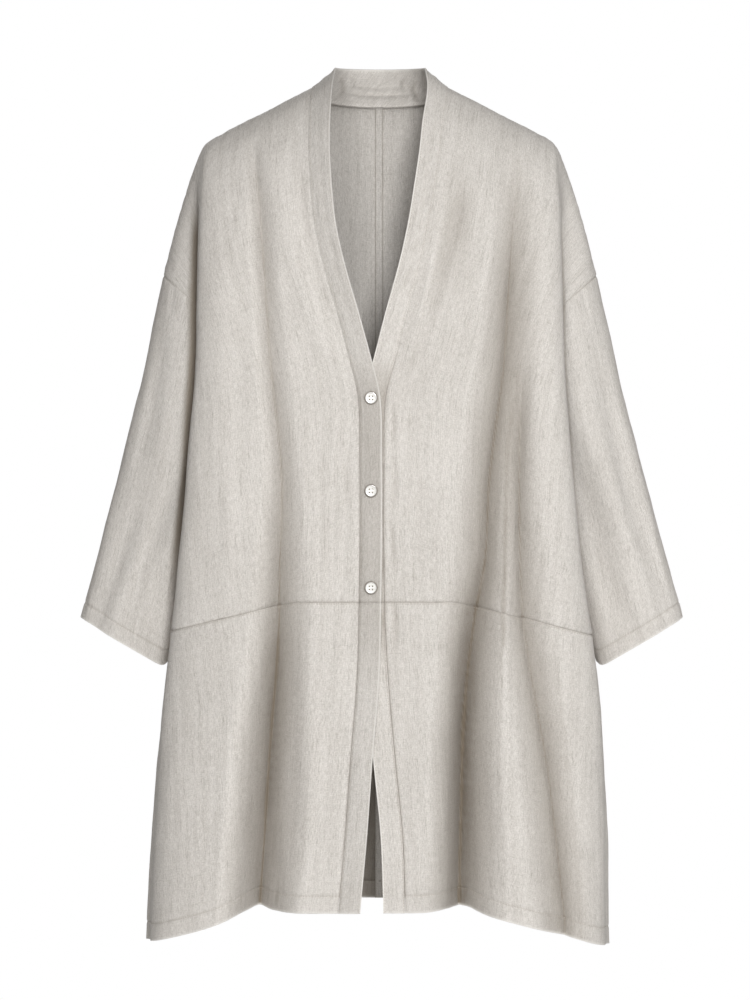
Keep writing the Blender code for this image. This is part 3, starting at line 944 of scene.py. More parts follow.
class NodeKit:
    """Short ways to add and join the nodes of one material."""

    def __init__(self, name: str) -> None:
        """Starts a material with its Principled shader.

        Args:
            name: The material's name.
        """
        self.material = bpy.data.materials.new(name)
        self.material.use_nodes = True
        self.tree = self.material.node_tree
        self.shader = self.tree.nodes["Principled BSDF"]

    def add(self, kind: str, **settings: str) -> bpy.types.Node:
        """Adds a node and sets its properties.

        Args:
            kind: The node's type.
            settings: Its properties by name.

        Returns:
            The node.
        """
        node = self.tree.nodes.new(kind)
        for name, value in settings.items():
            setattr(node, name, value)
        return node

    def feed(self, socket: Socket, value: NodeInput) -> None:
        """Links another socket to one, or sets its value.

        Args:
            socket: The socket that is fed.
            value: The other socket, or the value.
        """
        if isinstance(value, bpy.types.NodeSocket):
            self.tree.links.new(value, socket)
        else:
            socket.default_value = value

    def math(self, operation: str, first: NodeInput, second: NodeInput = 0.0) -> Socket:
        """The result of a sum on two values.

        Args:
            operation: The kind of sum.
            first: The first value.
            second: The second value.

        Returns:
            The result.
        """
        node = self.add("ShaderNodeMath", operation=operation)
        self.feed(node.inputs[0], first)
        self.feed(node.inputs[1], second)
        return node.outputs[0]

    def scaled(self, vector: Socket, scale: Triple) -> Socket:
        """Coordinates multiplied by a scale on each axis.

        Args:
            vector: The coordinates.
            scale: The scale.

        Returns:
            The new coordinates.
        """
        node = self.add("ShaderNodeMapping")
        self.feed(node.inputs["Vector"], vector)
        node.inputs["Scale"].default_value = scale
        return node.outputs[0]

    def noise(self, vector: Socket, scale: float, detail: float = 2.0) -> Socket:
        """Noise about a half.

        Args:
            vector: The coordinates.
            scale: How fine the noise is.
            detail: How many finer layers it has.

        Returns:
            The noise.
        """
        node = self.add("ShaderNodeTexNoise")
        self.feed(node.inputs["Vector"], vector)
        node.inputs["Scale"].default_value = scale
        node.inputs["Detail"].default_value = detail
        return node.outputs["Fac"]

    def ramp(self, value: Socket, low: float, high: float) -> Socket:
        """A value spread over a range.

        Args:
            value: The value.
            low: What becomes 0.
            high: What becomes 1.

        Returns:
            The spread value.
        """
        node = self.add("ShaderNodeMapRange", interpolation_type="SMOOTHSTEP")
        self.feed(node.inputs["Value"], value)
        node.inputs["From Min"].default_value = low
        node.inputs["From Max"].default_value = high
        return node.outputs["Result"]

    def blend(self, share: NodeInput, first: NodeInput, second: NodeInput) -> Socket:
        """A mix of two colours.

        Args:
            share: The share of the second colour.
            first: The first colour.
            second: The second colour.

        Returns:
            The mix.
        """
        node = self.add("ShaderNodeMix", data_type="RGBA")
        self.feed(node.inputs["Factor"], share)
        self.feed(node.inputs["A"], first)
        self.feed(node.inputs["B"], second)
        return node.outputs["Result"]


@dataclass(frozen=True)
class LinenFinish:
    """Undyed linen in a plain weave: uneven fibres, slubs, soft streaks, paler edges that are partly rubbing
    and partly a painted highlight, and painted shade.
    """

    name: str
    # Painted light and shade: scales every colour of the cloth.
    tone: float = 1.0
    light: Triple = (0.800, 0.768, 0.730)
    dark: Triple = (0.420, 0.392, 0.356)
    # A paler edge colour: partly rubbing, partly a painted highlight along folded edges.
    worn: Triple = (0.780, 0.755, 0.715)
    # Painted shade: the dark colour that valleys, creases, crevices, seams and the inside of the coat are
    # darkened toward, by the share below.
    deep: Triple = (0.190, 0.155, 0.115)
    depth_share: float = 0.50
    thread: float = 0.0009
    fibre: Pair = (0.0012, 0.0070)
    slub: Pair = (0.0017, 0.036)
    streak: Pair = (0.0075, 0.140)
    cloud_scale: float = 11.0
    speck_scale: float = 640.0
    even: Pair = (0.30, 0.70)
    warp_slub: Pair = (0.54, 0.72)
    weft_slub: Pair = (0.58, 0.74)
    speck: Pair = (0.35, 0.65)
    tints: tuple[tuple[str, float], ...] = (
        ("weft_slubs", 0.12), ("fibres", 0.32), ("picks", 0.12), ("specks", 0.24), ("streaks", 0.14),
        ("clouds", 0.06), ("warp_slubs", 0.24),
    )
    rises: tuple[tuple[str, float], ...] = (
        ("weave", 0.30), ("warp_slubs", 0.45), ("weft_slubs", 0.35), ("fibres", 0.35), ("picks", 0.20),
        ("specks", 0.35),
    )
    roughness: float = 0.92
    sheen: float = 0.12
    specular: float = 0.2
    bump: float = 0.60
    bump_distance: float = 0.0007
    wave_bands: int = 20
    wave_distortion: float = 1.2
    wave_detail: float = 1.0

    def colour(self, base: Triple) -> Colour:
        """A colour of this cloth, made lighter or darker by painted light and shade."""
        return (*(value * self.tone for value in base), 1.0)

    def along(self, kit: NodeKit, grain: Socket, size: Pair, warp: bool = True) -> Socket:
        """Noise drawn out along the warp or the weft.

        Args:
            kit: The material's nodes.
            grain: The cloth's own coordinates.
            size: The width and length of a mark.
            warp: Whether the marks run down the cloth.

        Returns:
            The noise.
        """
        wide, long = 1 / size[0], 1 / size[1]
        return kit.noise(kit.scaled(grain, (wide, long, 1.0) if warp else (long, wide, 1.0)), 1.0, 3.0)

    def make(self) -> bpy.types.Material:
        """Builds the material on the cloth's own grain, a UV map in metres.

        Returns:
            The material.
        """
        kit = NodeKit(self.name)
        grain = kit.add("ShaderNodeUVMap", uv_map=ClothShell.GRAIN).outputs["UV"]
        marks = {
            "fibres": kit.ramp(self.along(kit, grain, self.fibre), *self.even),
            "picks": kit.ramp(self.along(kit, grain, self.fibre, warp=False), *self.even),
            "warp_slubs": kit.ramp(self.along(kit, grain, self.slub), *self.warp_slub),
            "weft_slubs": kit.ramp(self.along(kit, grain, self.slub, warp=False), *self.weft_slub),
            "streaks": kit.ramp(self.along(kit, grain, self.streak), *self.even),
            "clouds": kit.ramp(kit.noise(grain, self.cloud_scale, 2.0), *self.even),
            "specks": kit.ramp(kit.noise(grain, self.speck_scale, 3.0), *self.speck),
            "weave": kit.math("MULTIPLY", self.wave(kit, grain, "X"), self.wave(kit, grain, "Y")),
        }
        shade = self.summed(kit, marks, self.tints)
        plain = kit.blend(shade, self.colour(self.light), self.colour(self.dark))
        # Painted shade: the cloth is mixed toward the dark colour by the painted-shade attribute.
        hollow = kit.add("ShaderNodeAttribute", attribute_name=ClothShell.HOLLOW).outputs["Fac"]
        plain = kit.blend(kit.math("MULTIPLY", hollow, self.depth_share), plain, self.colour(self.deep))
        # Paler edges: partly rubbing, partly a painted highlight.
        wear = kit.add("ShaderNodeAttribute", attribute_name=ClothShell.WEAR).outputs["Fac"]
        kit.feed(kit.shader.inputs["Base Color"], kit.blend(wear, plain, self.colour(self.worn)))
        kit.shader.inputs["Roughness"].default_value = self.roughness
        kit.shader.inputs["Sheen Weight"].default_value = self.sheen
        kit.shader.inputs["Specular IOR Level"].default_value = self.specular
        bump = kit.add("ShaderNodeBump")
        bump.inputs["Strength"].default_value = self.bump
        bump.inputs["Distance"].default_value = self.bump_distance
        kit.feed(bump.inputs["Height"], self.summed(kit, marks, self.rises))
        kit.feed(kit.shader.inputs["Normal"], bump.outputs["Normal"])
        return kit.material

    def summed(self, kit: NodeKit, marks: dict[str, Socket], shares: Sequence[tuple[str, float]]) -> Socket:
        """Adds up the marks of the weave.

        Args:
            kit: The material's nodes.
            marks: The marks by name.
            shares: The names of those that count, each with its share.

        Returns:
            The sum.
        """
        parts = [kit.math("MULTIPLY", marks[name], share) for name, share in shares]
        total = parts[0]
        for part in parts[1:]:
            total = kit.math("ADD", total, part)
        return total

    def wave(self, kit: NodeKit, grain: Socket, axis: str) -> Socket:
        """The rise and fall of the threads that cross one axis.

        Args:
            kit: The material's nodes.
            grain: The cloth's own coordinates.
            axis: The axis.

        Returns:
            The rise.
        """
        node = kit.add("ShaderNodeTexWave", bands_direction=axis)
        kit.feed(node.inputs["Vector"], grain)
        node.inputs["Scale"].default_value = 1 / (self.thread * self.wave_bands)
        node.inputs["Distortion"].default_value = self.wave_distortion
        node.inputs["Detail"].default_value = self.wave_detail
        return node.outputs["Fac"]


@dataclass(frozen=True)
class ThreadFinish:
    """Matte sewing thread with a fine twist."""

    name: str
    light: Colour = (0.56, 0.52, 0.47, 1.0)
    dark: Colour = (0.40, 0.36, 0.31, 1.0)
    twist_scale: float = 2600.0
    roughness: float = 0.8

    def make(self) -> bpy.types.Material:
        """Builds the material.

        Returns:
            The material.
        """
        kit = NodeKit(self.name)
        place = kit.add("ShaderNodeTexCoord").outputs["Object"]
        twist = kit.noise(place, self.twist_scale, 2.0)
        kit.feed(kit.shader.inputs["Base Color"], kit.blend(twist, self.light, self.dark))
        kit.shader.inputs["Roughness"].default_value = self.roughness
        return kit.material


@dataclass(frozen=True)
class ShellFinish:
    """Pale polished shell with faint cloudy bands and a painted shadow on the rim."""

    name: str
    light: Colour = (0.88, 0.87, 0.84, 1.0)
    dark: Colour = (0.74, 0.72, 0.68, 1.0)
    # Painted shadow: the rim is darkened toward this colour.
    edge: Colour = (0.10, 0.085, 0.065, 1.0)
    cloud_scale: Triple = (300.0, 300.0, 900.0)
    cloud: Pair = (0.35, 0.7)
    roughness: float = 0.28
    polish: float = 0.3

    RIM = "rim"

    def make(self) -> bpy.types.Material:
        """Builds the material.

        Returns:
            The material.
        """
        kit = NodeKit(self.name)
        place = kit.add("ShaderNodeTexCoord").outputs["Object"]
        cloudy = kit.noise(kit.scaled(place, self.cloud_scale), 1.0, 3.0)
        face = kit.blend(kit.ramp(cloudy, *self.cloud), self.light, self.dark)
        # Painted shadow on the rim of the button.
        rim = kit.add("ShaderNodeAttribute", attribute_name=self.RIM).outputs["Fac"]
        kit.feed(kit.shader.inputs["Base Color"], kit.blend(rim, face, self.edge))
        kit.shader.inputs["Roughness"].default_value = self.roughness
        kit.shader.inputs["Coat Weight"].default_value = self.polish
        return kit.material


def add_mesh(
    name: str, points: np.ndarray, faces: Sequence[Sequence[int]], material: bpy.types.Material
) -> bpy.types.Object:
    """Makes a smooth-shaded object.

    Args:
        name: Its name.
        points: Its points.
        faces: Its faces, as places in the list of points.
        material: Its finish.

    Returns:
        The object.
    """
    mesh = bpy.data.meshes.new(name)
    mesh.from_pydata(np.asarray(points).tolist(), [], [list(map(int, face)) for face in faces])
    mesh.shade_smooth()
    mesh.materials.append(material)
    made = bpy.data.objects.new(name, mesh)
    bpy.context.scene.collection.objects.link(made)
    return made


@dataclass
class ClothShell:
    """A thin shell of cloth on the form of one cut piece, with its creases, seams and hems."""

    node: str
    form: Callable[[float, float], np.ndarray]
    rows: Sequence[float]
    columns: Sequence[float]
    edges: dict[str, Edge]
    flat: Pair
    area: float
    flip: bool = False
    closed: bool = False
    face: Face = Face.FRONT
    creases: Sequence[Crease] = ()
    sleeve_creases: Sequence[SleeveCrease] = ()
    rests_on: Sequence[str] = ()
    replaces: bool = True
    thickness: float = 0.0012
    hem_thickness: float = 0.0022
    hem_depth: float = 0.021
    groove_depth: float = 0.0015
    groove_width: float = 0.0018
    stitch_groove: float = 0.0009
    stitch_width: float = 0.0014
    pucker_depth: float = 0.0009
    pucker_reach: float = 0.011
    pucker_length: float = 0.009
    hem_pucker_share: float = 0.7
    crease_points: int = 25
    crease_ends: Pair = (0.02, 0.98)
    crease_end_power: float = 0.7
    crease_pinch: float = 0.35
    crease_pinch_width: float = 1.5
    crease_fade: float = 0.014
    sleeve_fade: float = 0.004
    crumple_depth: float = 0.0011
    crumple_size: Triple = (0.034, 0.034, 0.085)
    crumple_layers: tuple[Triple, ...] = ((1.0, 0.0, 1.0), (2.3, 7.0, 0.45), (5.1, 3.0, 0.16))
    seam_fade: float = 0.010
    roll_height: float = 0.0008
    roll_width: float = 0.0030
    # How wide the paler edge is: partly rubbing, partly a painted highlight.
    wear_width: float = 0.0018
    # Painted light and shade: scales every colour of the piece.
    tone: float = 1.0
    # Painted shade: how far each place is darkened, on the outer wall and, by row, on the inner wall.
    hollow: Callable[[float, float, np.ndarray], float] | None = None
    start_share: Callable[[float], float] | None = None
    inside: Callable[[float], float] | None = None
    # Painted shade along seams, hem stitching and creases, and at the bottoms of valleys.
    seam_shade: float = 0.70
    seam_line: float = 0.0008
    stitch_shade: float = 0.30
    crease_shade: float = 0.55
    crease_full: float = 0.0035
    shade_gain: float = 0.345
    shade_floor: float = 0.12
    flank_columns: int = 4

    GRAIN = "grain"
    # Attributes: paler edges, partly rubbing and partly painted highlight, and painted shade.
    WEAR = "wear"
    HOLLOW = "hollow"

    def __post_init__(self) -> None:
        """Works out the plain form, its grain and its outward directions."""
        self.points = np.array([[self.form(column, row) for column in self.columns] for row in self.rows])
        self.across, self.along = self.lengths()
        self.outward = self.directions(self.points)

    @property
    def name(self) -> str:
        """The piece's name."""
        return f"{self.node}_cloth"

    def lengths(self) -> tuple[np.ndarray, np.ndarray]:
        """Measures along the cloth.

        Returns:
            Each point's distance from the first column, and from the first row.
        """
        across = np.linalg.norm(np.diff(self.points, axis=1), axis=2)
        along = np.linalg.norm(np.diff(self.points, axis=0), axis=2)
        across = np.concatenate([np.zeros((len(self.rows), 1)), np.cumsum(across, axis=1)], axis=1)
        along = np.concatenate([np.zeros((1, len(self.columns))), np.cumsum(along, axis=0)], axis=0)
        return across, along

    def directions(self, points: np.ndarray) -> np.ndarray:
        """Finds which way the cloth faces.

        Args:
            points: A grid of points.

        Returns:
            The outward direction at each of them.
        """
        if self.closed:
            ring = np.concatenate([points[:, -1:], points, points[:, :1]], axis=1)
            step_across = ring[:, 2:] - ring[:, :-2]
        else:
            step_across = np.gradient(points, axis=1)
        normals = np.cross(np.gradient(points, axis=0), step_across) * (-1 if self.flip else 1)
        return normals / np.maximum(np.linalg.norm(normals, axis=2, keepdims=True), 1e-12)

    def edge_distances(self) -> dict[str, np.ndarray]:
        """Measures from the edges that the piece has.

        Returns:
            How far each point lies from each edge, by the edge's name.
        """
        far = {"top": self.along, "foot": self.along[-1:] - self.along}
        if not self.closed:
            far["start"] = self.across
            far["end"] = self.across[:, -1:] - self.across
        return far

    def relief(self) -> np.ndarray:
        """Adds up crumples, sleeve creases, seams, hems and folded edges.

        Returns:
            How far each point stands out from the plain form.
        """
        far = self.edge_distances()
        seams = [name for name in far if self.edges[name] is Edge.SEAM]
        nearest = np.min([far[name] for name in seams], axis=0) if seams else np.ones(self.across.shape)
        relief = self.crumples() * soft_steps(nearest / self.seam_fade)
        for crease in self.sleeve_creases:
            relief -= self.sleeve_crease_depth(crease) * soft_steps(nearest / self.sleeve_fade)
        for name in far:
            if self.edges[name] is Edge.SEAM:
                share = self.start_shares()[:, None] if name == "start" else 1.0
                relief -= share * self.groove_depth * np.exp(-((far[name] / self.groove_width) ** 2))
                beside = np.exp(-((far[name] / self.pucker_reach) ** 2))
                relief += self.puckers(name) * beside * soft_steps(far[name] / self.groove_width / 2)
            elif self.edges[name] is Edge.HEM:
                line = (far[name] - self.hem_depth) / self.stitch_width
                relief -= self.stitch_groove * np.exp(-(line**2))
                middle = self.hem_depth * self.hem_pucker_share
                near_line = np.exp(-(((far[name] - middle) / self.pucker_reach) ** 2))
                relief += self.puckers(name) * near_line * soft_steps(nearest / self.seam_fade)
            elif self.edges[name] is Edge.FOLD:
                relief += self.roll_height * np.exp(-((far[name] / self.roll_width) ** 2))
        return relief

    def wear(self) -> np.ndarray:
        """Pales the cloth at folded and hemmed edges, partly from rubbing and partly as a painted highlight
        where the fold catches the light.

        Returns:
            How pale each point is, from 0 to 1.
        """
        worn = np.zeros(self.across.shape)
        for name, away in self.edge_distances().items():
            if self.edges[name] in (Edge.FOLD, Edge.HEM):
                worn = np.maximum(worn, np.exp(-((away / self.wear_width) ** 2)))
        return worn

    def hollows(self) -> np.ndarray:
        """Paints shade into the valleys, creases, seams and hems of the outer wall.

        Returns:
            How far painted shade darkens each point, from 0 up.
        """
        deep = np.zeros(self.across.shape)
        if self.hollow is not None:
            for i, row in enumerate(self.rows):
                cells = zip(self.columns, self.points[i])
                deep[i] = [self.hollow(column, row, point) for column, point in cells]
            deep = self.even_valleys(deep)
        deep = deep + self.crease_shades()
        share = self.start_shares()[:, None]
        for name, away in self.edge_distances().items():
            if self.edges[name] in (Edge.SEAM, Edge.FELL):
                line = self.seam_shade * np.exp(-((away / self.seam_line) ** 2))
                deep = np.maximum(deep, line * share if name == "start" else line)
            elif self.edges[name] is Edge.HEM:
                line = (away - self.hem_depth) / self.stitch_width
                deep = np.maximum(deep, self.stitch_shade * np.exp(-(line**2)))
        return np.clip(deep, 0.0, 1 / LinenFinish.depth_share)

    def even_valleys(self, deep: np.ndarray) -> np.ndarray:
        """Deepens the painted shade along the bottom of a valley where it faces ahead more than both flanks do.

        Args:
            deep: How far painted shade darkens each point.

        Returns:
            The evened painted shade.
        """
        facing = np.abs(self.outer_directions[:, :, 1])
        reach, count = self.flank_columns, facing.shape[1]
        padded = np.pad(facing, ((0, 0), (reach, reach)), mode="edge")
        left = np.min([padded[:, k : k + count] for k in range(reach)], axis=0)
        right = np.min([padded[:, reach + k : reach + k + count] for k in range(1, reach + 1)], axis=0)
        dimmer = np.clip(np.maximum(left, right) / np.maximum(facing, 1e-6), 0.0, 1.0)
        even = (1 - (1 - self.shade_gain * deep) * dimmer) / self.shade_gain
        return np.where(deep > self.shade_floor, even, deep)

    def crease_shades(self) -> np.ndarray:
        """How far painted shade darkens each point in a crease."""
        return self.crease_shade * np.clip(self.pressed_in / self.crease_full, 0.0, 1.0)

    def inner_hollows(self) -> np.ndarray:
        """How far painted shade darkens each point of the inner wall."""
        values = [self.inside(row) if self.inside else 0.0 for row in self.rows]
        return np.repeat(values, len(self.columns)) + self.crease_shades().reshape(-1)

    def start_shares(self) -> np.ndarray:
        """How strongly the seam along the first column shows at each row."""
        return np.array([self.start_share(row) if self.start_share else 1.0 for row in self.rows])

    def add_attribute(self, piece: bpy.types.Object, name: str, values: np.ndarray) -> None:
        """Gives each point of the piece a value that the finish reads."""
        made = piece.data.attributes.new(name, "FLOAT", "POINT")
        made.data.foreach_set("value", values)

    def puckers(self, edge: str) -> np.ndarray:
        """Makes small uneven waves that run away from a row of sewing.

        Args:
            edge: The edge's name.

        Returns:
            The height at each point.
        """
        run = self.along if edge in ("start", "end") else self.across
        seed = float(sum(map(ord, self.node + edge)) % 97)
        places = run / self.pucker_length
        waves = [[noise.noise(Vector((place, seed, 0.0))) for place in row] for row in places]
        return self.pucker_depth * np.array(waves)

    def crumples(self) -> np.ndarray:
        """Makes soft uneven waves all over the cloth, longer down the cloth than across it.

        Returns:
            The height at each point.
        """
        size = np.array(self.crumple_size)
        places = (self.points / size).reshape(-1, 3)
        waves = np.zeros(len(places))
        for finer, shift, share in self.crumple_layers:
            waves += share * np.array([noise.noise(Vector(place)) for place in places * finer + shift])
        return self.crumple_depth * waves.reshape(self.across.shape)

    def crease_depth(self, crease: Crease) -> np.ndarray:
        """Presses one crease in, by each point's distance from it seen from ahead.

        Args:
            crease: The crease.

        Returns:
            The depth at each point.
        """
        share = np.linspace(0.0, 1.0, self.crease_points)[:, None]
        start, bend, end = (np.array(place) for place in (crease.start, crease.bend, crease.end))
        control = 2 * bend - (start + end) / 2
        line = start * (1 - share) ** 2 + control * 2 * share * (1 - share) + end * share**2
        flat = self.points[:, :, (0, 2)]
        gaps = np.linalg.norm(flat[:, :, None, :] - line[None, None], axis=3)
        place = gaps.argmin(axis=2)
        away = gaps.min(axis=2) / crease.width
        fade = np.sin(math.pi * np.clip(share[place, 0], *self.crease_ends)) ** self.crease_end_power
        sharp = pinch(away / self.crease_pinch_width)
        return crease.depth * fade * mix(np.exp(-(away**2)), sharp, self.crease_pinch)

    def press(self) -> np.ndarray:
        """Adds up the creases, which press straight to the back or the front.

        They fade out towards the band and the side, and run on across the waist seam.

        Returns:
            How far each point is pressed in.
        """
        depth = np.zeros(self.across.shape)
        for crease in self.creases:
            depth += self.crease_depth(crease)
        far = self.edge_distances()
        edges = [name for name in ("start", "end") if name in far]
        if self.edges["foot"] is not Edge.HEM:
            edges.append("top")
        for name in edges:
            depth *= soft_steps(far[name] / self.crease_fade)
        return depth

    def sleeve_crease_depth(self, crease: SleeveCrease) -> np.ndarray:
        """Presses one crease into a sleeve, by each point's place round and along it.

        Args:
            crease: The crease.

        Returns:
            The depth at each point.
        """
        turns = np.array(self.columns)[None, :]
        down = np.array(self.rows)[:, None]
        share = np.clip((down - crease.start[1]) / (crease.end[1] - crease.start[1]), 0.0, 1.0)
        away = (turns - mix(crease.start[0], crease.end[0], share) + 1) % 2 - 1
        fade = np.sin(math.pi * np.clip(share, 0.0, 1.0)) ** self.crease_end_power
        return crease.depth * fade * np.exp(-((away / crease.width) ** 2))

    def walls(self) -> tuple[np.ndarray, np.ndarray]:
        """Shapes both walls of the shell.

        Returns:
            The outer and the inner points.
        """
        outer = self.points + self.outward * self.relief()[:, :, None]
        self.pressed_in = self.press()
        outer[:, :, 1] -= self.face.value * self.pressed_in
        thick = np.full(self.across.shape, self.thickness)
        for name, away in self.edge_distances().items():
            if self.edges[name] is Edge.HEM:
                extra = self.hem_thickness - self.thickness
                thick += extra * (1 - soft_steps((away - self.hem_depth) / self.stitch_width))
        self.outer = outer
        self.outer_directions = self.directions(outer)
        return outer, outer - self.outward * thick[:, :, None]

    def build(self) -> bpy.types.Object:
        """Returns:
            The piece.
        """
        material = LinenFinish(f"linen_{self.node}", tone=self.tone).make()
        outer, inner = self.walls()
        rows, columns = outer.shape[:2]
        places = np.arange(rows * columns).reshape(rows, columns)
        right = np.roll(places, -1, axis=1)
        wide = slice(None) if self.closed else slice(0, columns - 1)
        a, b = places[:-1, wide], places[1:, wide]
        c, d = right[1:, wide], right[:-1, wide]
        faces = np.stack([a, b, c, d] if not self.flip else [a, d, c, b], axis=2).reshape(-1, 4)
        count = rows * columns
        back_faces = faces[:, ::-1] + count
        rim = np.array(self.rim_faces(places, count))
        points = np.concatenate([outer.reshape(-1, 3), inner.reshape(-1, 3)])
        piece = add_mesh(self.name, points, np.concatenate([faces, back_faces, rim]), material)
        self.set_grain(piece, count)
        # Paler edges on both walls: partly rubbing, partly a painted highlight.
        self.add_attribute(piece, self.WEAR, np.tile(self.wear().reshape(-1), 2))
        # Painted shade on the outer wall, then on the inner wall.
        shade = self.hollows().reshape(-1)
        self.add_attribute(piece, self.HOLLOW, np.concatenate([shade, self.inner_hollows()]))
        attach(piece, BODY)
        if self.replaces:
            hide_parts(self.node)
        LOG.info("%s: %d faces", self.name, len(piece.data.polygons))
        return piece

    def rim_faces(self, places: np.ndarray, count: int) -> list[tuple[int, int, int, int]]:
        """Closes the shell between its outer and inner wall.

        Args:
            places: The grid of the outer points' places in the list of points.
            count: How many points the outer wall has.

        Returns:
            The faces of the rim.
        """
        rows, columns = places.shape
        if self.closed:
            loops = [list(places[0]), list(places[-1])[::-1]]
        else:
            sides = list(places[1:-1, columns - 1]), list(places[1:-1, 0])
            loops = [list(places[0]) + sides[0] + list(places[rows - 1])[::-1] + sides[1][::-1]]
        faces = []
        for loop in loops:
            for first, second in zip(loop, loop[1:] + loop[:1]):
                face = (first, second, second + count, first + count)
                faces.append(face[::-1] if self.flip else face)
        return faces

    def set_grain(self, piece: bpy.types.Object, count: int) -> None:
        """Gives the piece a UV map in metres along and across the cloth.

        Args:
            piece: The piece.
            count: How many points one wall has.
        """
        mesh = piece.data
        layer = mesh.uv_layers.new(name=self.GRAIN)
        corners = np.empty(len(mesh.loops), dtype=np.int64)
        mesh.loops.foreach_get("vertex_index", corners)
        places = corners % count
        across, along = self.across.reshape(-1)[places], self.along.reshape(-1)[places]
        if self.closed:
            across = self.unwrapped(across)
        shift = float(sum(map(ord, self.node)) % 53)
        layer.data.foreach_set("uv", np.stack([across + shift, along], axis=1).reshape(-1))

    def unwrapped(self, across: np.ndarray) -> np.ndarray:
        """Lets the distances round a sleeve go on past its last column instead of starting again.

        Args:
            across: The distance at each corner of each face.

        Returns:
            The new distances.
        """
        whole = self.across.max() + np.diff(self.across[:, :2], axis=1).mean()
        by_face = across.reshape(-1, 4)
        wraps = (by_face.max(axis=1) - by_face.min(axis=1)) > whole / 2
        by_face[wraps] = np.where(by_face[wraps] < whole / 4, by_face[wraps] + whole, by_face[wraps])
        return by_face.reshape(-1)

    def line_from(self, edge: str, distance: float) -> tuple[np.ndarray, np.ndarray]:
        """A line on the finished cloth at a distance from an edge.

        Args:
            edge: The edge's name.
            distance: How far the line lies from it.

        Returns:
            The line's points and its outward directions.
        """
        far = self.edge_distances()[edge]
        outer, directions = self.outer, self.outer_directions
        if edge in ("start", "end"):
            far, outer, directions = far.T, outer.transpose(1, 0, 2), directions.transpose(1, 0, 2)
        points, outward = [], []
        for place in range(far.shape[1]):
            order = np.argsort(far[:, place])
            known = far[order, place]
            points.append([np.interp(distance, known, outer[order, place, axis]) for axis in range(3)])
            outward.append([np.interp(distance, known, directions[order, place, axis]) for axis in range(3)])
        if self.closed:
            points.append(points[0])
            outward.append(outward[0])
        return np.array(points), np.array(outward)


@dataclass
class Stitching:
    """Rows of sewn stitches, joined into one piece."""

    name: str
    pitch: float = 0.0034
    length: float = 0.0026
    radius: float = 0.00028
    profile: tuple[Triple, ...] = (
        (0.0, 0.5, -0.7), (0.25, 1.0, 0.4), (0.75, 1.0, 0.4), (1.0, 0.5, -0.7),
    )
    corners: tuple[int, ...] = (45, 135, 225, 315)

    def __post_init__(self) -> None:
        """Starts with no stitches."""
        self.points: list[np.ndarray] = []
        self.faces: list[tuple[int, ...]] = []

    def sew(self, line: np.ndarray, outward: np.ndarray) -> None:
        """Lays stitches along a line on the cloth.

        Args:
            line: The line's points.
            outward: The outward direction at each of them.
        """
        steps = np.linalg.norm(np.diff(line, axis=0), axis=1)
        run = np.concatenate([[0.0], np.cumsum(steps)])
        count = max(1, int(run[-1] / self.pitch))
        for number in range(count):
            middle = (number + 0.5) * run[-1] / count
            start, end = (self.along(run, line, middle + half * self.length / 2) for half in (-1, 1))
            up = self.along(run, outward, middle)
            self.add_stitch(start, end, up / np.linalg.norm(up))

    def along(self, run: np.ndarray, values: np.ndarray, at: float) -> np.ndarray:
        """The point or direction at a distance along a line."""
        return np.array([np.interp(at, run, values[:, axis]) for axis in range(3)])

    def add_stitch(self, start: np.ndarray, end: np.ndarray, up: np.ndarray) -> None:
        """Adds one stitch: a short thread that dips into the cloth at both ends.

        Args:
            start: Where it comes up.
            end: Where it goes down.
            up: The outward direction.
        """
        along = (end - start) / np.linalg.norm(end - start)
        aside = np.cross(along, up)
        base = sum(len(points) for points in self.points)
        ring = []
        for share, size, lift in self.profile:
            centre = mix(start, end, share) + up * self.radius * lift
            for angle in self.corners:
                turn = math.radians(angle)
                offset = aside * math.cos(turn) + up * math.sin(turn)
                ring.append(centre + offset * self.radius * size)
        self.points.append(np.array(ring))
        for row in range(3):
            for k in range(4):
                m = (k + 1) % 4
                first, second = base + row * 4, base + row * 4 + 4
                self.faces.append((first + k, second + k, second + m, first + m))
        self.faces.append((base, base + 1, base + 2, base + 3))
        self.faces.append((base + 15, base + 14, base + 13, base + 12))

    def build(self, material: bpy.types.Material) -> bpy.types.Object:
        """Makes the piece.

        Args:
            material: The thread's finish.

        Returns:
            The piece.
        """
        piece = add_mesh(self.name, np.concatenate(self.points), self.faces, material)
        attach(piece, BODY)
        LOG.info("%s: %d faces", self.name, len(self.faces))
        return piece


def spread(start: float, end: float, count: int) -> list[float]:
    """Evenly spaced values from start to end."""
    return [mix(start, end, i / count) for i in range(count + 1)]


def crowd_ends(values: list[float], shares: tuple[float, ...] = (0.12, 0.3, 0.55)) -> list[float]:
    """Adds values close to the ends, where a seam or hem needs a finer shape.

    Args:
        values: The values in order.
        shares: Where the new ones lie between the last two values of each end.

    Returns:
        All the values.
    """
    head = [mix(values[0], values[1], share) for share in shares]
    tail = [mix(values[-1], values[-2], share) for share in reversed(shares)]
    return values[:1] + head + values[1:-1] + tail + values[-1:]


def crowd_line(values: list[float], line: float, step: float, count: int = 3) -> list[float]:
    """Values with a few more on both sides of a row of sewing or a button, and none too near to those."""
    close = [line + step * number for number in range(-count, count + 1)]
    return sorted([value for value in values if abs(value - line) > (count + 0.5) * step] + close)


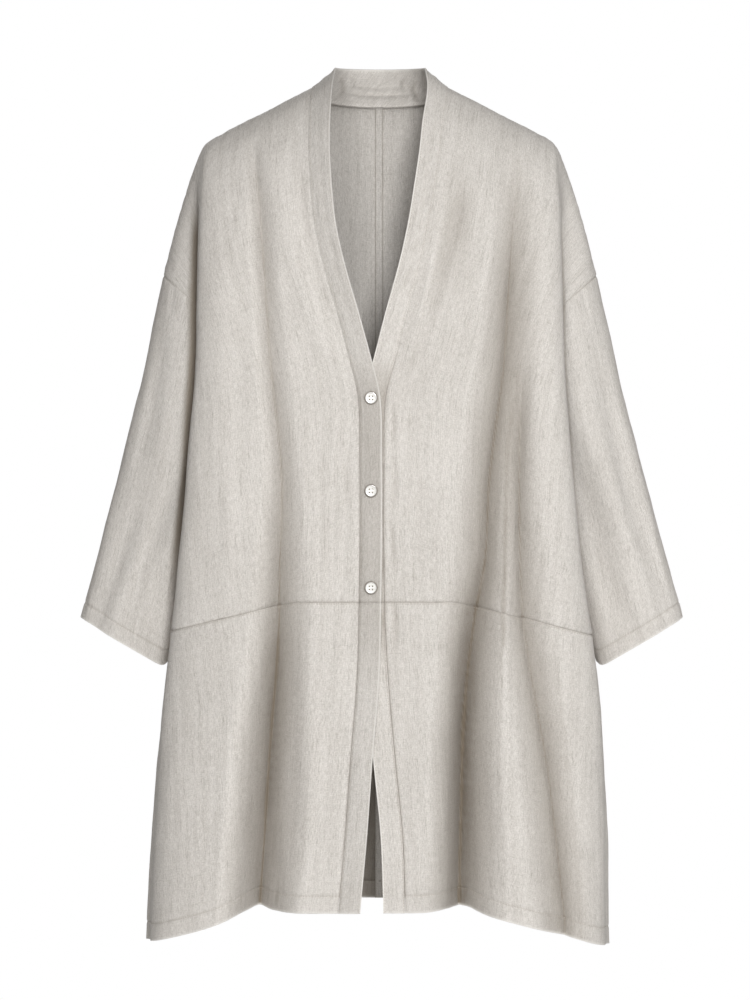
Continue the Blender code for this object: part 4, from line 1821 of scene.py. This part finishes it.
class Creases:
    """The creases, given one by one.

    Those of the body and the bands are in metres seen from ahead, those of a sleeve in half turns round it
    and lengths down it.
    """

    FRONT = {
        Side.RIGHT: (
            Crease((-0.122, -0.080), (-0.093, -0.240), (-0.032, -0.370), 0.016, -0.0040),
            Crease((-0.098, -0.070), (-0.078, -0.200), (-0.030, -0.330), 0.009, 0.0028),
            Crease((-0.196, -0.110), (-0.186, -0.360), (-0.180, -0.640), 0.020, -0.0040),
            Crease((-0.072, -0.420), (-0.070, -0.480), (-0.062, -0.560), 0.007, 0.0010),
            Crease((-0.050, -0.395), (-0.056, -0.440), (-0.050, -0.500), 0.006, -0.0009),
            Crease((-0.172, -0.650), (-0.176, -0.800), (-0.186, -0.960), 0.022, -0.0040),
            Crease((-0.128, -0.640), (-0.125, -0.760), (-0.140, -0.930), 0.014, 0.0035),
            Crease((-0.090, -0.680), (-0.086, -0.800), (-0.088, -0.940), 0.014, -0.0022),
            Crease((-0.078, -0.896), (-0.055, -0.905), (-0.030, -0.900), 0.006, 0.0010),
            Crease((-0.060, -0.770), (-0.045, -0.785), (-0.028, -0.780), 0.006, 0.0009),
            Crease((-0.036, -0.430), (-0.041, -0.470), (-0.037, -0.510), 0.0035, 0.0018),
        ),
        Side.LEFT: (
            Crease((0.140, -0.095), (0.128, -0.240), (0.105, -0.420), 0.012, -0.0030),
            Crease((0.097, -0.120), (0.078, -0.200), (0.055, -0.290), 0.010, 0.0040),
            Crease((0.205, -0.100), (0.208, -0.360), (0.218, -0.640), 0.016, -0.0035),
            Crease((0.086, -0.080), (0.094, -0.170), (0.090, -0.270), 0.016, 0.0028),
            Crease((0.066, -0.170), (0.054, -0.240), (0.037, -0.310), 0.005, -0.0026),
            Crease((0.026, -0.360), (0.040, -0.325), (0.058, -0.290), 0.006, 0.0014),
            Crease((0.018, -0.385), (0.038, -0.360), (0.066, -0.330), 0.006, 0.0012),
            Crease((0.040, -0.440), (0.046, -0.490), (0.044, -0.560), 0.007, 0.0010),
            Crease((0.104, -0.630), (0.102, -0.780), (0.100, -0.960), 0.014, 0.0035),
            Crease((0.140, -0.640), (0.142, -0.800), (0.160, -0.960), 0.018, -0.0040),
            Crease((0.056, -0.660), (0.054, -0.800), (0.050, -0.950), 0.018, -0.0024),
            Crease((0.022, -0.890), (0.038, -0.905), (0.056, -0.925), 0.006, 0.0010),
            Crease((0.010, -0.372), (0.016, -0.400), (0.011, -0.432), 0.0035, 0.0030),
            Crease((0.014, -0.440), (0.019, -0.470), (0.013, -0.505), 0.0035, 0.0026),
            Crease((0.010, -0.520), (0.015, -0.548), (0.012, -0.580), 0.0030, 0.0030),
            Crease((0.012, -0.600), (0.018, -0.640), (0.014, -0.690), 0.0040, 0.0030),
        ),
    }
    BACK = {
        Side.RIGHT: (
            Crease((-0.126, -0.110), (-0.132, -0.340), (-0.130, -0.640), 0.015, 0.0042),
            Crease((-0.080, -0.090), (-0.070, -0.250), (-0.074, -0.480), 0.013, -0.0024),
            Crease((-0.178, -0.140), (-0.182, -0.400), (-0.190, -0.700), 0.016, -0.0034),
            Crease((-0.040, -0.300), (-0.034, -0.520), (-0.042, -0.820), 0.014, 0.0024),
            Crease((-0.146, -0.640), (-0.150, -0.800), (-0.160, -0.970), 0.013, 0.0034),
            Crease((-0.206, -0.660), (-0.214, -0.800), (-0.222, -0.980), 0.013, 0.0030),
            Crease((-0.100, -0.560), (-0.096, -0.740), (-0.104, -0.960), 0.016, -0.0030),
        ),
        Side.LEFT: (
            Crease((0.112, -0.120), (0.120, -0.360), (0.126, -0.660), 0.014, 0.0042),
            Crease((0.066, -0.080), (0.074, -0.230), (0.066, -0.420), 0.012, -0.0022),
            Crease((0.172, -0.150), (0.180, -0.420), (0.186, -0.720), 0.017, -0.0032),
            Crease((0.034, -0.360), (0.044, -0.600), (0.040, -0.900), 0.014, 0.0022),
            Crease((0.140, -0.650), (0.142, -0.810), (0.150, -0.975), 0.014, 0.0032),
            Crease((0.092, -0.520), (0.088, -0.720), (0.094, -0.950), 0.016, -0.0030),
            Crease((0.060, -0.700), (0.064, -0.830), (0.058, -0.970), 0.010, 0.0020),
        ),
    }
    BAND = {
        Side.RIGHT: (
            Crease((-0.073, -0.020), (-0.062, -0.170), (-0.022, -0.312), 0.004, 0.0022),
            Crease((-0.064, -0.060), (-0.054, -0.180), (-0.026, -0.285), 0.003, -0.0016),
        ),
        Side.LEFT: (
            Crease((0.066, -0.020), (0.043, -0.180), (0.006, -0.312), 0.004, 0.0022),
            Crease((0.060, -0.070), (0.040, -0.175), (0.018, -0.260), 0.003, -0.0018),
            Crease((0.069, -0.060), (0.056, -0.150), (0.044, -0.235), 0.0028, -0.0024),
        ),
    }
    NECK_BAND = (
        Crease((-0.046, 0.0085), (0.0, 0.0050), (0.046, 0.0075), 0.0030, 0.0024),
        Crease((-0.051, 0.026), (-0.047, 0.014), (-0.052, 0.002), 0.0035, 0.0046),
        Crease((0.049, 0.024), (0.043, 0.011), (0.050, -0.002), 0.0040, 0.0050),
        Crease((-0.042, 0.018), (-0.005, 0.0145), (0.030, 0.0165), 0.0026, 0.0013),
        Crease((0.036, 0.030), (0.029, 0.020), (0.033, 0.012), 0.0035, 0.0020),
        Crease((-0.040, 0.028), (-0.033, 0.021), (-0.036, 0.013), 0.0030, 0.0016),
    )
    SLEEVE = {
        Side.RIGHT: (
            SleeveCrease((0.60, 0.30), (0.42, 1.02), 0.08, -0.0050),
            SleeveCrease((0.42, 0.45), (0.28, 1.05), 0.07, 0.0040),
            SleeveCrease((0.80, 0.05), (0.66, 0.75), 0.08, 0.0040),
            SleeveCrease((0.20, 0.05), (0.34, 0.60), 0.07, 0.0025),
            SleeveCrease((-0.30, 0.10), (-0.42, 0.80), 0.08, 0.0040),
            SleeveCrease((-0.62, 0.30), (-0.55, 1.02), 0.08, -0.0040),
            SleeveCrease((0.52, 0.70), (0.74, 1.05), 0.05, 0.0022),
            SleeveCrease((0.24, -0.02), (0.25, 0.09), 0.022, 0.0014),
            SleeveCrease((0.36, -0.03), (0.38, 0.06), 0.020, 0.0016),
        ),
        Side.LEFT: (
            SleeveCrease((0.64, 0.20), (0.60, 1.00), 0.08, 0.0040),
            SleeveCrease((0.46, 0.15), (0.40, 0.95), 0.08, -0.0036),
            SleeveCrease((0.24, 0.10), (0.34, 0.85), 0.07, 0.0028),
            SleeveCrease((0.70, 0.62), (0.48, 1.04), 0.05, 0.0030),
            SleeveCrease((0.14, 0.50), (0.22, 1.05), 0.06, -0.0020),
            SleeveCrease((-0.36, 0.10), (-0.48, 0.90), 0.08, 0.0040),
            SleeveCrease((-0.66, 0.25), (-0.60, 1.02), 0.08, -0.0036),
            SleeveCrease((0.28, -0.03), (0.27, 0.08), 0.020, 0.0018),
            SleeveCrease((0.35, -0.02), (0.34, 0.06), 0.018, 0.0014),
            SleeveCrease((0.44, -0.03), (0.45, 0.10), 0.024, 0.0018),
        ),
    }


@dataclass
class CoatCloth:
    """All the sewn cloth pieces of the coat and their stitching."""

    form: CoatForm
    shoulder_rows: int = 56
    waist_rows: int = 44
    hem_rows: int = 56
    sleeve_rows: int = 84
    panel_columns: int = 120
    side_columns: int = 30
    neck_columns: int = 30
    neck_band_rows: int = 40
    neck_band_columns: int = 180
    band_columns: int = 10
    ring_columns: int = 64
    hem_stitch: float = 0.0205
    hem_level: float = 2.944
    hem_step: float = 0.0035
    cuff_place: float = 0.9537
    cuff_step: float = 0.0032
    band_stitch: float = 0.0022
    placket_columns: int = 30
    button_rows: int = 12
    button_step: float = 0.0028
    # Painted shadow: a dark ring on the band round each button.
    button_shade: float = 1.7
    button_rim: float = 0.0074
    button_line: float = 0.0009
    fell_reach: Pair = (-0.006, 0.004)
    fell_inset: float = 0.0034
    fell_stitch: float = 0.0012
    fell_first_row: int = 3
    level_steps: int = 100

    def build(self) -> None:
        """Builds every piece."""
        above = spread(0.0, 1.0, self.shoulder_rows) + spread(1.0, 2.0, self.waist_rows)[1:]
        below = spread(2.0, 3.0, self.hem_rows)
        self.upper = crowd_ends(above)
        self.lower = crowd_line(crowd_ends(below), self.hem_level, self.hem_step)
        self.whole = crowd_line(crowd_ends(above + below[1:]), self.hem_level, self.hem_step)
        beside = spread(1.0, 2.0, self.side_columns)[1:]
        self.panel = crowd_ends(spread(0.0, 1.0, self.panel_columns) + beside)
        self.buttons = [np.mean(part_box(f"button_{number}"), axis=0) for number in range(1, Buttons.count + 1)]
        self.hem_sewing = Stitching("hem_stitches")
        self.cuff_sewing = Stitching("cuff_stitches")
        self.band_sewing = Stitching("band_stitches")
        self.waist_sewing = Stitching("waist_stitches")
        for side in Side:
            self.build_front(side)
            self.build_back(side)
            self.build_sleeve(side)
            self.build_band(side)
        self.build_fell()
        self.build_neck_band()
        thread = ThreadFinish("sewing_thread").make()
        for sewing in (self.hem_sewing, self.cuff_sewing, self.band_sewing, self.waist_sewing):
            sewing.build(thread)

    def build_front(self, side: Side) -> None:
        """Builds one front above and below the waist seam.

        Args:
            side: Which front.
        """
        seams = {name: Edge.SEAM for name in ("top", "foot", "start", "end")}
        parts = (
            ("upper", self.upper, seams, (0.36, 0.68), 0.186),
            ("lower", self.lower, {**seams, "foot": Edge.HEM}, (0.36, 0.40), 0.128),
        )
        for word, rows, edges, flat, area in parts:
            node = f"{word}_front_{side.word}"
            cloth = ClothShell(
                node=node,
                form=lambda column, level: self.form.front_point(side, column, level),
                rows=rows,
                columns=self.panel,
                edges=edges,
                flat=flat,
                area=area,
                flip=side is Side.RIGHT,
                creases=Creases.FRONT[side],
                # Painted shade in the valleys and beside the arm.
                hollow=lambda column, level, point: self.form.body_hollow(side, Face.FRONT, column, point),
                start_share=self.form.band_seam_share,
                rests_on=["neck_band_cloth" if word == "upper" else f"upper_front_{side.word}_cloth"],
            )
            cloth.build()
            if word == "lower":
                self.hem_sewing.sew(*cloth.line_from("foot", self.hem_stitch))
                self.waist_sewing.sew(*cloth.line_from("top", self.band_stitch))

    def build_back(self, side: Side) -> None:
        """Builds one half of the back.

        Args:
            side: Which half.
        """
        node = f"back_{side.word}"
        places = spread(-1.0, 0.0, self.neck_columns)[:-1] + spread(0.0, 1.0, self.panel_columns)
        places = crowd_ends(places + spread(1.0, 2.0, self.side_columns)[1:])
        cloth = ClothShell(
            node=node,
            form=lambda place, level: self.form.back_point(side, place, level),
            rows=self.whole,
            columns=places,
            edges={"top": Edge.SEAM, "foot": Edge.HEM, "start": Edge.SEAM, "end": Edge.SEAM},
            flat=(0.45, 1.07),
            area=0.345,
            flip=side is Side.LEFT,
            face=Face.BACK,
            creases=Creases.BACK[side],
            # Painted shade in the valleys of the back, and inside it below the waist.
            hollow=lambda column, level, point: self.form.body_hollow(side, Face.BACK, column, point),
            inside=self.form.inside_shade,
            groove_depth=0.0007,
            rests_on=["neck_band_cloth"],
        )
        cloth.build()
        self.hem_sewing.sew(*cloth.line_from("foot", self.hem_stitch))

    def fell_point(self, across: float, level: float) -> np.ndarray:
        """A point on the strip that covers the centre back seam."""
        return self.form.back_point(Side.RIGHT, -1, level) + (across, -self.fell_inset, 0.0)

    def build_fell(self) -> None:
        """Builds the narrow strip that covers the centre back seam inside the coat."""
        cloth = ClothShell(
            node="back_fell",
            form=self.fell_point,
            rows=self.whole[self.fell_first_row :],
            columns=spread(*self.fell_reach, self.band_columns),
            edges={"top": Edge.SEAM, "foot": Edge.FELL, "start": Edge.FELL, "end": Edge.FELL},
            flat=(0.010, 1.0),
            area=0.0100,
            rests_on=[f"back_{side.word}_cloth" for side in Side],
            replaces=False,
            thickness=0.0020,
            crumple_depth=0.0,
            # Painted shade along the strip's edges.
            seam_shade=1.2,
        )
        cloth.build()
        for edge in ("start", "end"):
            self.band_sewing.sew(*cloth.line_from(edge, self.fell_stitch))

    def build_sleeve(self, side: Side) -> None:
        """Builds one sleeve.

        Args:
            side: Which sleeve.
        """
        node = f"sleeve_{side.word}"
        half = spread(0.0, 1.0, self.ring_columns)
        cloth = ClothShell(
            node=node,
            form=lambda turn, along: self.form.ring_point(side, turn, along),
            rows=crowd_line(crowd_ends(spread(0.0, 1.0, self.sleeve_rows)), self.cuff_place, self.cuff_step),
            columns=half + [-turn for turn in half[-2:0:-1]],
            edges={"top": Edge.SEAM, "foot": Edge.HEM},
            flat=(0.42, 0.44),
            area=0.145,
            flip=side is Side.LEFT,
            closed=True,
            sleeve_creases=Creases.SLEEVE[side],
            # Painted shade in the crevice beside the body.
            hollow=lambda turn, along, point: self.form.sleeve_hollow(side, turn, point),
            groove_depth=0.0008,
            rests_on=[f"upper_front_{side.word}_cloth", f"back_{side.word}_cloth"],
            hem_depth=0.019,
        )
        cloth.build()
        self.cuff_sewing.sew(*cloth.line_from("foot", cloth.hem_depth))

    def build_band(self, side: Side) -> None:
        """Builds one front band above and below the waist seam.

        Args:
            side: Which band.
        """
        across = crowd_ends(spread(0.0, 1.0, self.placket_columns))
        seams = {"top": Edge.SEAM, "foot": Edge.SEAM, "start": Edge.SEAM, "end": Edge.FOLD}
        upper = self.upper
        for centre in self.buttons:
            upper = crowd_line(upper, self.band_level(side, centre[2]), self.button_step, self.button_rows)
        parts = (
            ("upper", upper, seams, (0.04, 0.70), 0.0190),
            ("lower", self.lower, {**seams, "foot": Edge.FOLD}, (0.027, 0.37), 0.0097),
        )
        for word, rows, edges, flat, area in parts:
            node = f"{word}_band_{side.word}"
            cloth = ClothShell(
                node=node,
                form=lambda place, level: self.form.band_point(side, place, level),
                rows=rows,
                columns=across,
                edges=edges,
                flat=flat,
                area=area,
                flip=side is Side.LEFT,
                rests_on=[f"{word}_front_{side.word}_cloth"],
                creases=Creases.BAND[side],
                crease_fade=0.008,
                thickness=0.0018,
                # Painted shade in the overlap and round the buttons.
                hollow=lambda place, level, point: self.band_hollow(side, level, point),
                start_share=self.form.band_seam_share,
                pucker_depth=0.0012,
                pucker_length=0.008,
                crumple_depth=0.0007,
                seam_fade=0.005,
                # Painted shade: the right band is darker than the left.
                tone=0.90 if side is Side.RIGHT else 1.0,
            )
            cloth.build()
            for edge in ("start", "end"):
                self.band_sewing.sew(*cloth.line_from(edge, self.band_stitch))

    def band_level(self, side: Side, z: float) -> float:
        """Finds the level at which the middle of a front band has a height.

        Args:
            side: Which band.
            z: The height.

        Returns:
            The level.
        """
        levels = spread(1.0, 2.0, self.level_steps)
        heights = [self.form.band_point(side, 0.5, level)[2] for level in levels]
        return float(np.interp(-z, [-height for height in heights], levels))

    def band_hollow(self, side: Side, level: float, point: np.ndarray) -> float:
        """How far painted shade darkens a place on a front band: in the overlap, and in a painted shadow ring
        round each button.

        Args:
            side: Which band.
            level: The place's level.
            point: The place.

        Returns:
            The share of painted shade, from 0 up.
        """
        # Painted shadow ring round each button on the right band.
        rim = 0.0
        if side is Side.RIGHT:
            away = min(math.hypot(point[0] - x, point[2] - z) for x, y, z in self.buttons)
            rim = self.button_shade * math.exp(-(((away - self.button_rim) / self.button_line) ** 2))
        return max(rim, self.form.placket_shade(side, level))

    def build_neck_band(self) -> None:
        """Builds the standing band round the back of the neck."""
        cloth = ClothShell(
            node="neck_band",
            form=self.form.neck_band_point,
            rows=crowd_ends(spread(0.0, 1.0, self.neck_band_rows)),
            columns=crowd_ends(spread(-1.0, 1.0, self.neck_band_columns)),
            edges={"top": Edge.SEAM, "foot": Edge.FOLD, "start": Edge.SEAM, "end": Edge.SEAM},
            flat=(0.27, 0.05),
            area=0.0105,
            face=Face.BACK,
            creases=Creases.NECK_BAND,
            groove_depth=0.0007,
            thickness=0.0018,
            crumple_depth=0.0007,
            seam_fade=0.005,
            crease_fade=0.005,
            # Painted light: the neck band is lighter than the rest of the cloth.
            tone=1.06,
        )
        cloth.build()
        self.band_sewing.sew(*cloth.line_from("foot", self.band_stitch))


@dataclass
class Buttons:
    """Round four-hole buttons on the right front band."""

    radius: float = 0.007
    thickness: float = 0.0028
    rim: float = 0.0013
    dish: float = 0.0008
    bevel: float = 0.0004
    undercut: float = 0.0009
    hole_radius: float = 0.00085
    hole_offset: float = 0.0027
    thread_radius: float = 0.00088
    thread_length: float = 0.0016
    thread_sink: float = 0.0005
    # The thread in the holes is dark: partly its own colour, partly painted shade inside the holes.
    thread_light: Colour = (0.20, 0.17, 0.13, 1.0)
    thread_dark: Colour = (0.10, 0.08, 0.06, 1.0)
    # Where the painted shadow on the rim starts, and how fast it deepens.
    rim_reach: Pair = (0.0058, 0.0010)
    cut_depth: float = 0.01
    flat_enough: float = 0.9
    round_angle: float = math.radians(30)
    smooth_angle: float = math.radians(35)
    disc_sides: int = 64
    hole_sides: int = 18
    thread_sides: int = 16
    holes: int = 4
    count: int = 3

    def build(self) -> None:
        """Builds each button where its solid lies, with the thread that holds it."""
        finish = ShellFinish("button_shell").make()
        # The button thread is dark, partly as thread and partly as painted shade inside the holes.
        thread = ThreadFinish("button_thread", light=self.thread_light, dark=self.thread_dark).make()
        for number in range(1, self.count + 1):
            node = f"button_{number}"
            low, high = (np.array(corner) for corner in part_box(node))
            centre = (low + high) / 2
            piece = self.disc(f"{node}_shell", centre, finish)
            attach(piece, BODY)
            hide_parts(node)
            # Painted shadow on the rim.
            self.shade_rim(piece, centre)
            sewn = self.thread(f"{node}_thread", centre, thread)
            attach(sewn, BODY)
            LOG.info("%s: %d faces", piece.name, len(piece.data.polygons))

    def disc(self, name: str, centre: np.ndarray, finish: bpy.types.Material) -> bpy.types.Object:
        """Models a button with a raised rim and sewing holes.

        Args:
            name: The piece's name.
            centre: The middle of the button.
            finish: Its material.

        Returns:
            The piece.
        """
        bpy.ops.object.select_all(action="DESELECT")
        bpy.ops.mesh.primitive_cylinder_add(
            vertices=self.disc_sides, radius=self.radius, depth=self.thickness, location=(0, 0, 0)
        )
        piece = bpy.context.active_object
        piece.name = piece.data.name = name
        bpy.ops.object.mode_set(mode="EDIT")
        bpy.ops.mesh.select_mode(type="FACE")
        self.select_face(piece, 1.0)
        bpy.ops.mesh.inset(thickness=self.rim, depth=0.0)
        bpy.ops.mesh.inset(thickness=self.bevel, depth=-self.dish)
        self.select_face(piece, -1.0)
        bpy.ops.mesh.bevel(offset=self.undercut, segments=3, affect="EDGES")
        bpy.ops.mesh.select_all(action="DESELECT")
        bpy.ops.object.mode_set(mode="OBJECT")
        self.cut_holes(piece)
        round_edges = piece.modifiers.new("round_edges", "BEVEL")
        round_edges.width = self.bevel / 2
        round_edges.segments = 3
        round_edges.limit_method = "ANGLE"
        round_edges.angle_limit = self.round_angle
        bpy.ops.object.modifier_apply(modifier=round_edges.name)
        piece.rotation_euler = (math.pi / 2, 0.0, 0.0)
        piece.location = centre
        self.finish(piece, finish)
        return piece

    def finish(self, piece: bpy.types.Object, material: bpy.types.Material) -> None:
        """Settles a modelled piece, shades it smooth and gives it its material.

        Args:
            piece: The piece, which is selected and active.
            material: Its material.
        """
        bpy.ops.object.transform_apply(location=True, rotation=True, scale=True)
        bpy.ops.object.shade_smooth_by_angle(angle=self.smooth_angle)
        piece.data.materials.clear()
        piece.data.materials.append(material)

    def select_face(self, piece: bpy.types.Object, up: float) -> None:
        """Selects the flat face that looks up or down.

        Args:
            piece: The button, in edit mode.
            up: 1 for up, -1 for down.
        """
        bpy.ops.mesh.select_all(action="DESELECT")
        bpy.ops.object.mode_set(mode="OBJECT")
        for polygon in piece.data.polygons:
            polygon.select = polygon.normal.z * up > self.flat_enough
        bpy.ops.object.mode_set(mode="EDIT")

    def hole_places(self) -> list[Pair]:
        """Where the sewing holes lie round the middle of a button."""
        angles = [2 * math.pi * (number + 0.5) / self.holes for number in range(self.holes)]
        return [(self.hole_offset * math.cos(angle), self.hole_offset * math.sin(angle)) for angle in angles]

    def cut_holes(self, piece: bpy.types.Object) -> None:
        """Cuts the sewing holes through a button that lies flat.

        Args:
            piece: The button.
        """
        for x, y in self.hole_places():
            bpy.ops.object.select_all(action="DESELECT")
            bpy.ops.mesh.primitive_cylinder_add(
                vertices=self.hole_sides, radius=self.hole_radius, depth=self.cut_depth, location=(x, y, 0.0)
            )
            pin = bpy.context.active_object
            bpy.context.view_layer.objects.active = piece
            cut = piece.modifiers.new("hole", "BOOLEAN")
            cut.operation = "DIFFERENCE"
            cut.object = pin
            bpy.ops.object.modifier_apply(modifier=cut.name)
            bpy.data.objects.remove(pin)
        bpy.ops.object.select_all(action="DESELECT")
        piece.select_set(True)

    def shade_rim(self, piece: bpy.types.Object, centre: np.ndarray) -> None:
        """Paints a shadow on the rounded rim of a button, darker towards the outer edge.

        Args:
            piece: The button.
            centre: Its middle.
        """
        points = np.array([tuple(vertex.co) for vertex in piece.data.vertices])
        out = np.hypot(points[:, 0] - centre[0], points[:, 2] - centre[2])
        made = piece.data.attributes.new(ShellFinish.RIM, "FLOAT", "POINT")
        made.data.foreach_set("value", np.clip((out - self.rim_reach[0]) / self.rim_reach[1], 0.0, 1.0))

    def thread(self, name: str, centre: np.ndarray, finish: bpy.types.Material) -> bpy.types.Object:
        """Models the thread that goes down through the holes of a button, dark partly as thread and partly as
        painted shade inside the holes.

        Args:
            name: The piece's name.
            centre: The middle of the button.
            finish: Its material.

        Returns:
            The piece.
        """
        pins = []
        for x, z in self.hole_places():
            bpy.ops.object.select_all(action="DESELECT")
            bpy.ops.mesh.primitive_cylinder_add(
                vertices=self.thread_sides,
                radius=self.thread_radius,
                depth=self.thread_length,
                location=(centre[0] + x, centre[1] + self.thread_sink, centre[2] + z),
                rotation=(math.pi / 2, 0.0, 0.0),
            )
            pins.append(bpy.context.active_object)
        for pin in pins:
            pin.select_set(True)
        bpy.ops.object.join()
        piece = bpy.context.active_object
        piece.name = piece.data.name = name
        self.finish(piece, finish)
        return piece


class Lamp(NamedTuple):
    """A square soft light."""

    name: str
    place: Triple
    size: float
    power: float


@dataclass
class Studio:
    """The camera, the pale floor and the soft light."""

    target: Triple = (-0.006, 0.0, -0.4936)
    distance: float = 4.5
    view_height: float = 1.2128
    sensor: float = 24.0
    floor_z: float = -1.50
    floor_half: float = 2.4
    floor_colour: Colour = (0.86, 0.86, 0.86, 1.0)
    floor_roughness: float = 0.9
    soft_colour: Colour = (1.0, 0.93, 0.84, 1.0)
    soft_strength: float = 0.10
    seen_colour: Colour = (1.0, 1.0, 1.0, 1.0)
    lamps: tuple[Lamp, ...] = (
        Lamp("front_light", (0.44, -4.21, 0.25), 0.6, 103.0),
        Lamp("key_light", (1.56, -3.87, 0.65), 0.8, 3.0),
        Lamp("fill_light", (-0.75, -4.10, 0.95), 0.8, 47.0),
        Lamp("side_light", (3.80, -1.20, 0.80), 1.2, 36.0),
        Lamp("back_light", (-1.30, 4.00, 1.30), 1.2, 85.0),
    )

    def build(self) -> None:
        """Sets up everything round the coat."""
        self.camera()
        self.floor()
        self.world()
        for lamp in self.lamps:
            self.light(lamp)
        bpy.context.scene.view_settings.view_transform = "Standard"
        LOG.info("studio: camera, floor and lights")

    def camera(self) -> None:
        """Looks straight at the front of the coat."""
        data = bpy.data.cameras.new("camera")
        data.sensor_fit = "VERTICAL"
        data.sensor_height = self.sensor
        data.lens = self.sensor * self.distance / self.view_height
        made = bpy.data.objects.new("camera", data)
        made.location = (self.target[0], -self.distance, self.target[2])
        made.rotation_euler = (math.pi / 2, 0.0, 0.0)
        bpy.context.scene.collection.objects.link(made)
        bpy.context.scene.camera = made

    def floor(self) -> None:
        """Lays a plain pale floor under the coat."""
        bpy.ops.object.select_all(action="DESELECT")
        bpy.ops.mesh.primitive_plane_add(size=2 * self.floor_half, location=(0.0, 0.0, self.floor_z))
        made = bpy.context.active_object
        made.name = "floor"
        kit = NodeKit("pale_floor")
        kit.shader.inputs["Base Color"].default_value = self.floor_colour
        kit.shader.inputs["Roughness"].default_value = self.floor_roughness
        made.data.materials.append(kit.material)

    def world(self) -> None:
        """Surrounds the coat with white that lights it softly."""
        world = bpy.data.worlds.new("studio_world")
        bpy.context.scene.world = world
        world.use_nodes = True
        tree = world.node_tree
        soft = tree.nodes["Background"]
        soft.inputs["Color"].default_value = self.soft_colour
        soft.inputs["Strength"].default_value = self.soft_strength
        seen = tree.nodes.new("ShaderNodeBackground")
        seen.inputs["Color"].default_value = self.seen_colour
        seen.inputs["Strength"].default_value = 1.0
        path = tree.nodes.new("ShaderNodeLightPath")
        choice = tree.nodes.new("ShaderNodeMixShader")
        tree.links.new(path.outputs["Is Camera Ray"], choice.inputs["Fac"])
        tree.links.new(soft.outputs["Background"], choice.inputs[1])
        tree.links.new(seen.outputs["Background"], choice.inputs[2])
        tree.links.new(choice.outputs["Shader"], tree.nodes["World Output"].inputs["Surface"])

    def light(self, lamp: Lamp) -> None:
        """Adds a light that faces the coat.

        Args:
            lamp: The light.
        """
        data = bpy.data.lights.new(lamp.name, "AREA")
        data.size = lamp.size
        data.energy = lamp.power
        made = bpy.data.objects.new(lamp.name, data)
        made.location = lamp.place
        facing = Vector(self.target) - Vector(lamp.place)
        made.rotation_euler = facing.to_track_quat("-Z", "Y").to_euler()
        bpy.context.scene.collection.objects.link(made)


def main() -> None:
    """Builds the studio and every piece of the coat."""
    logging.basicConfig(level=logging.INFO, format="%(message)s")
    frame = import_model()
    LOG.info("frame: %d solids", len(frame["nodes"]))
    Studio().build()
    CoatCloth(CoatForm()).build()
    Buttons().build()


if __name__ == "__main__":
    main()
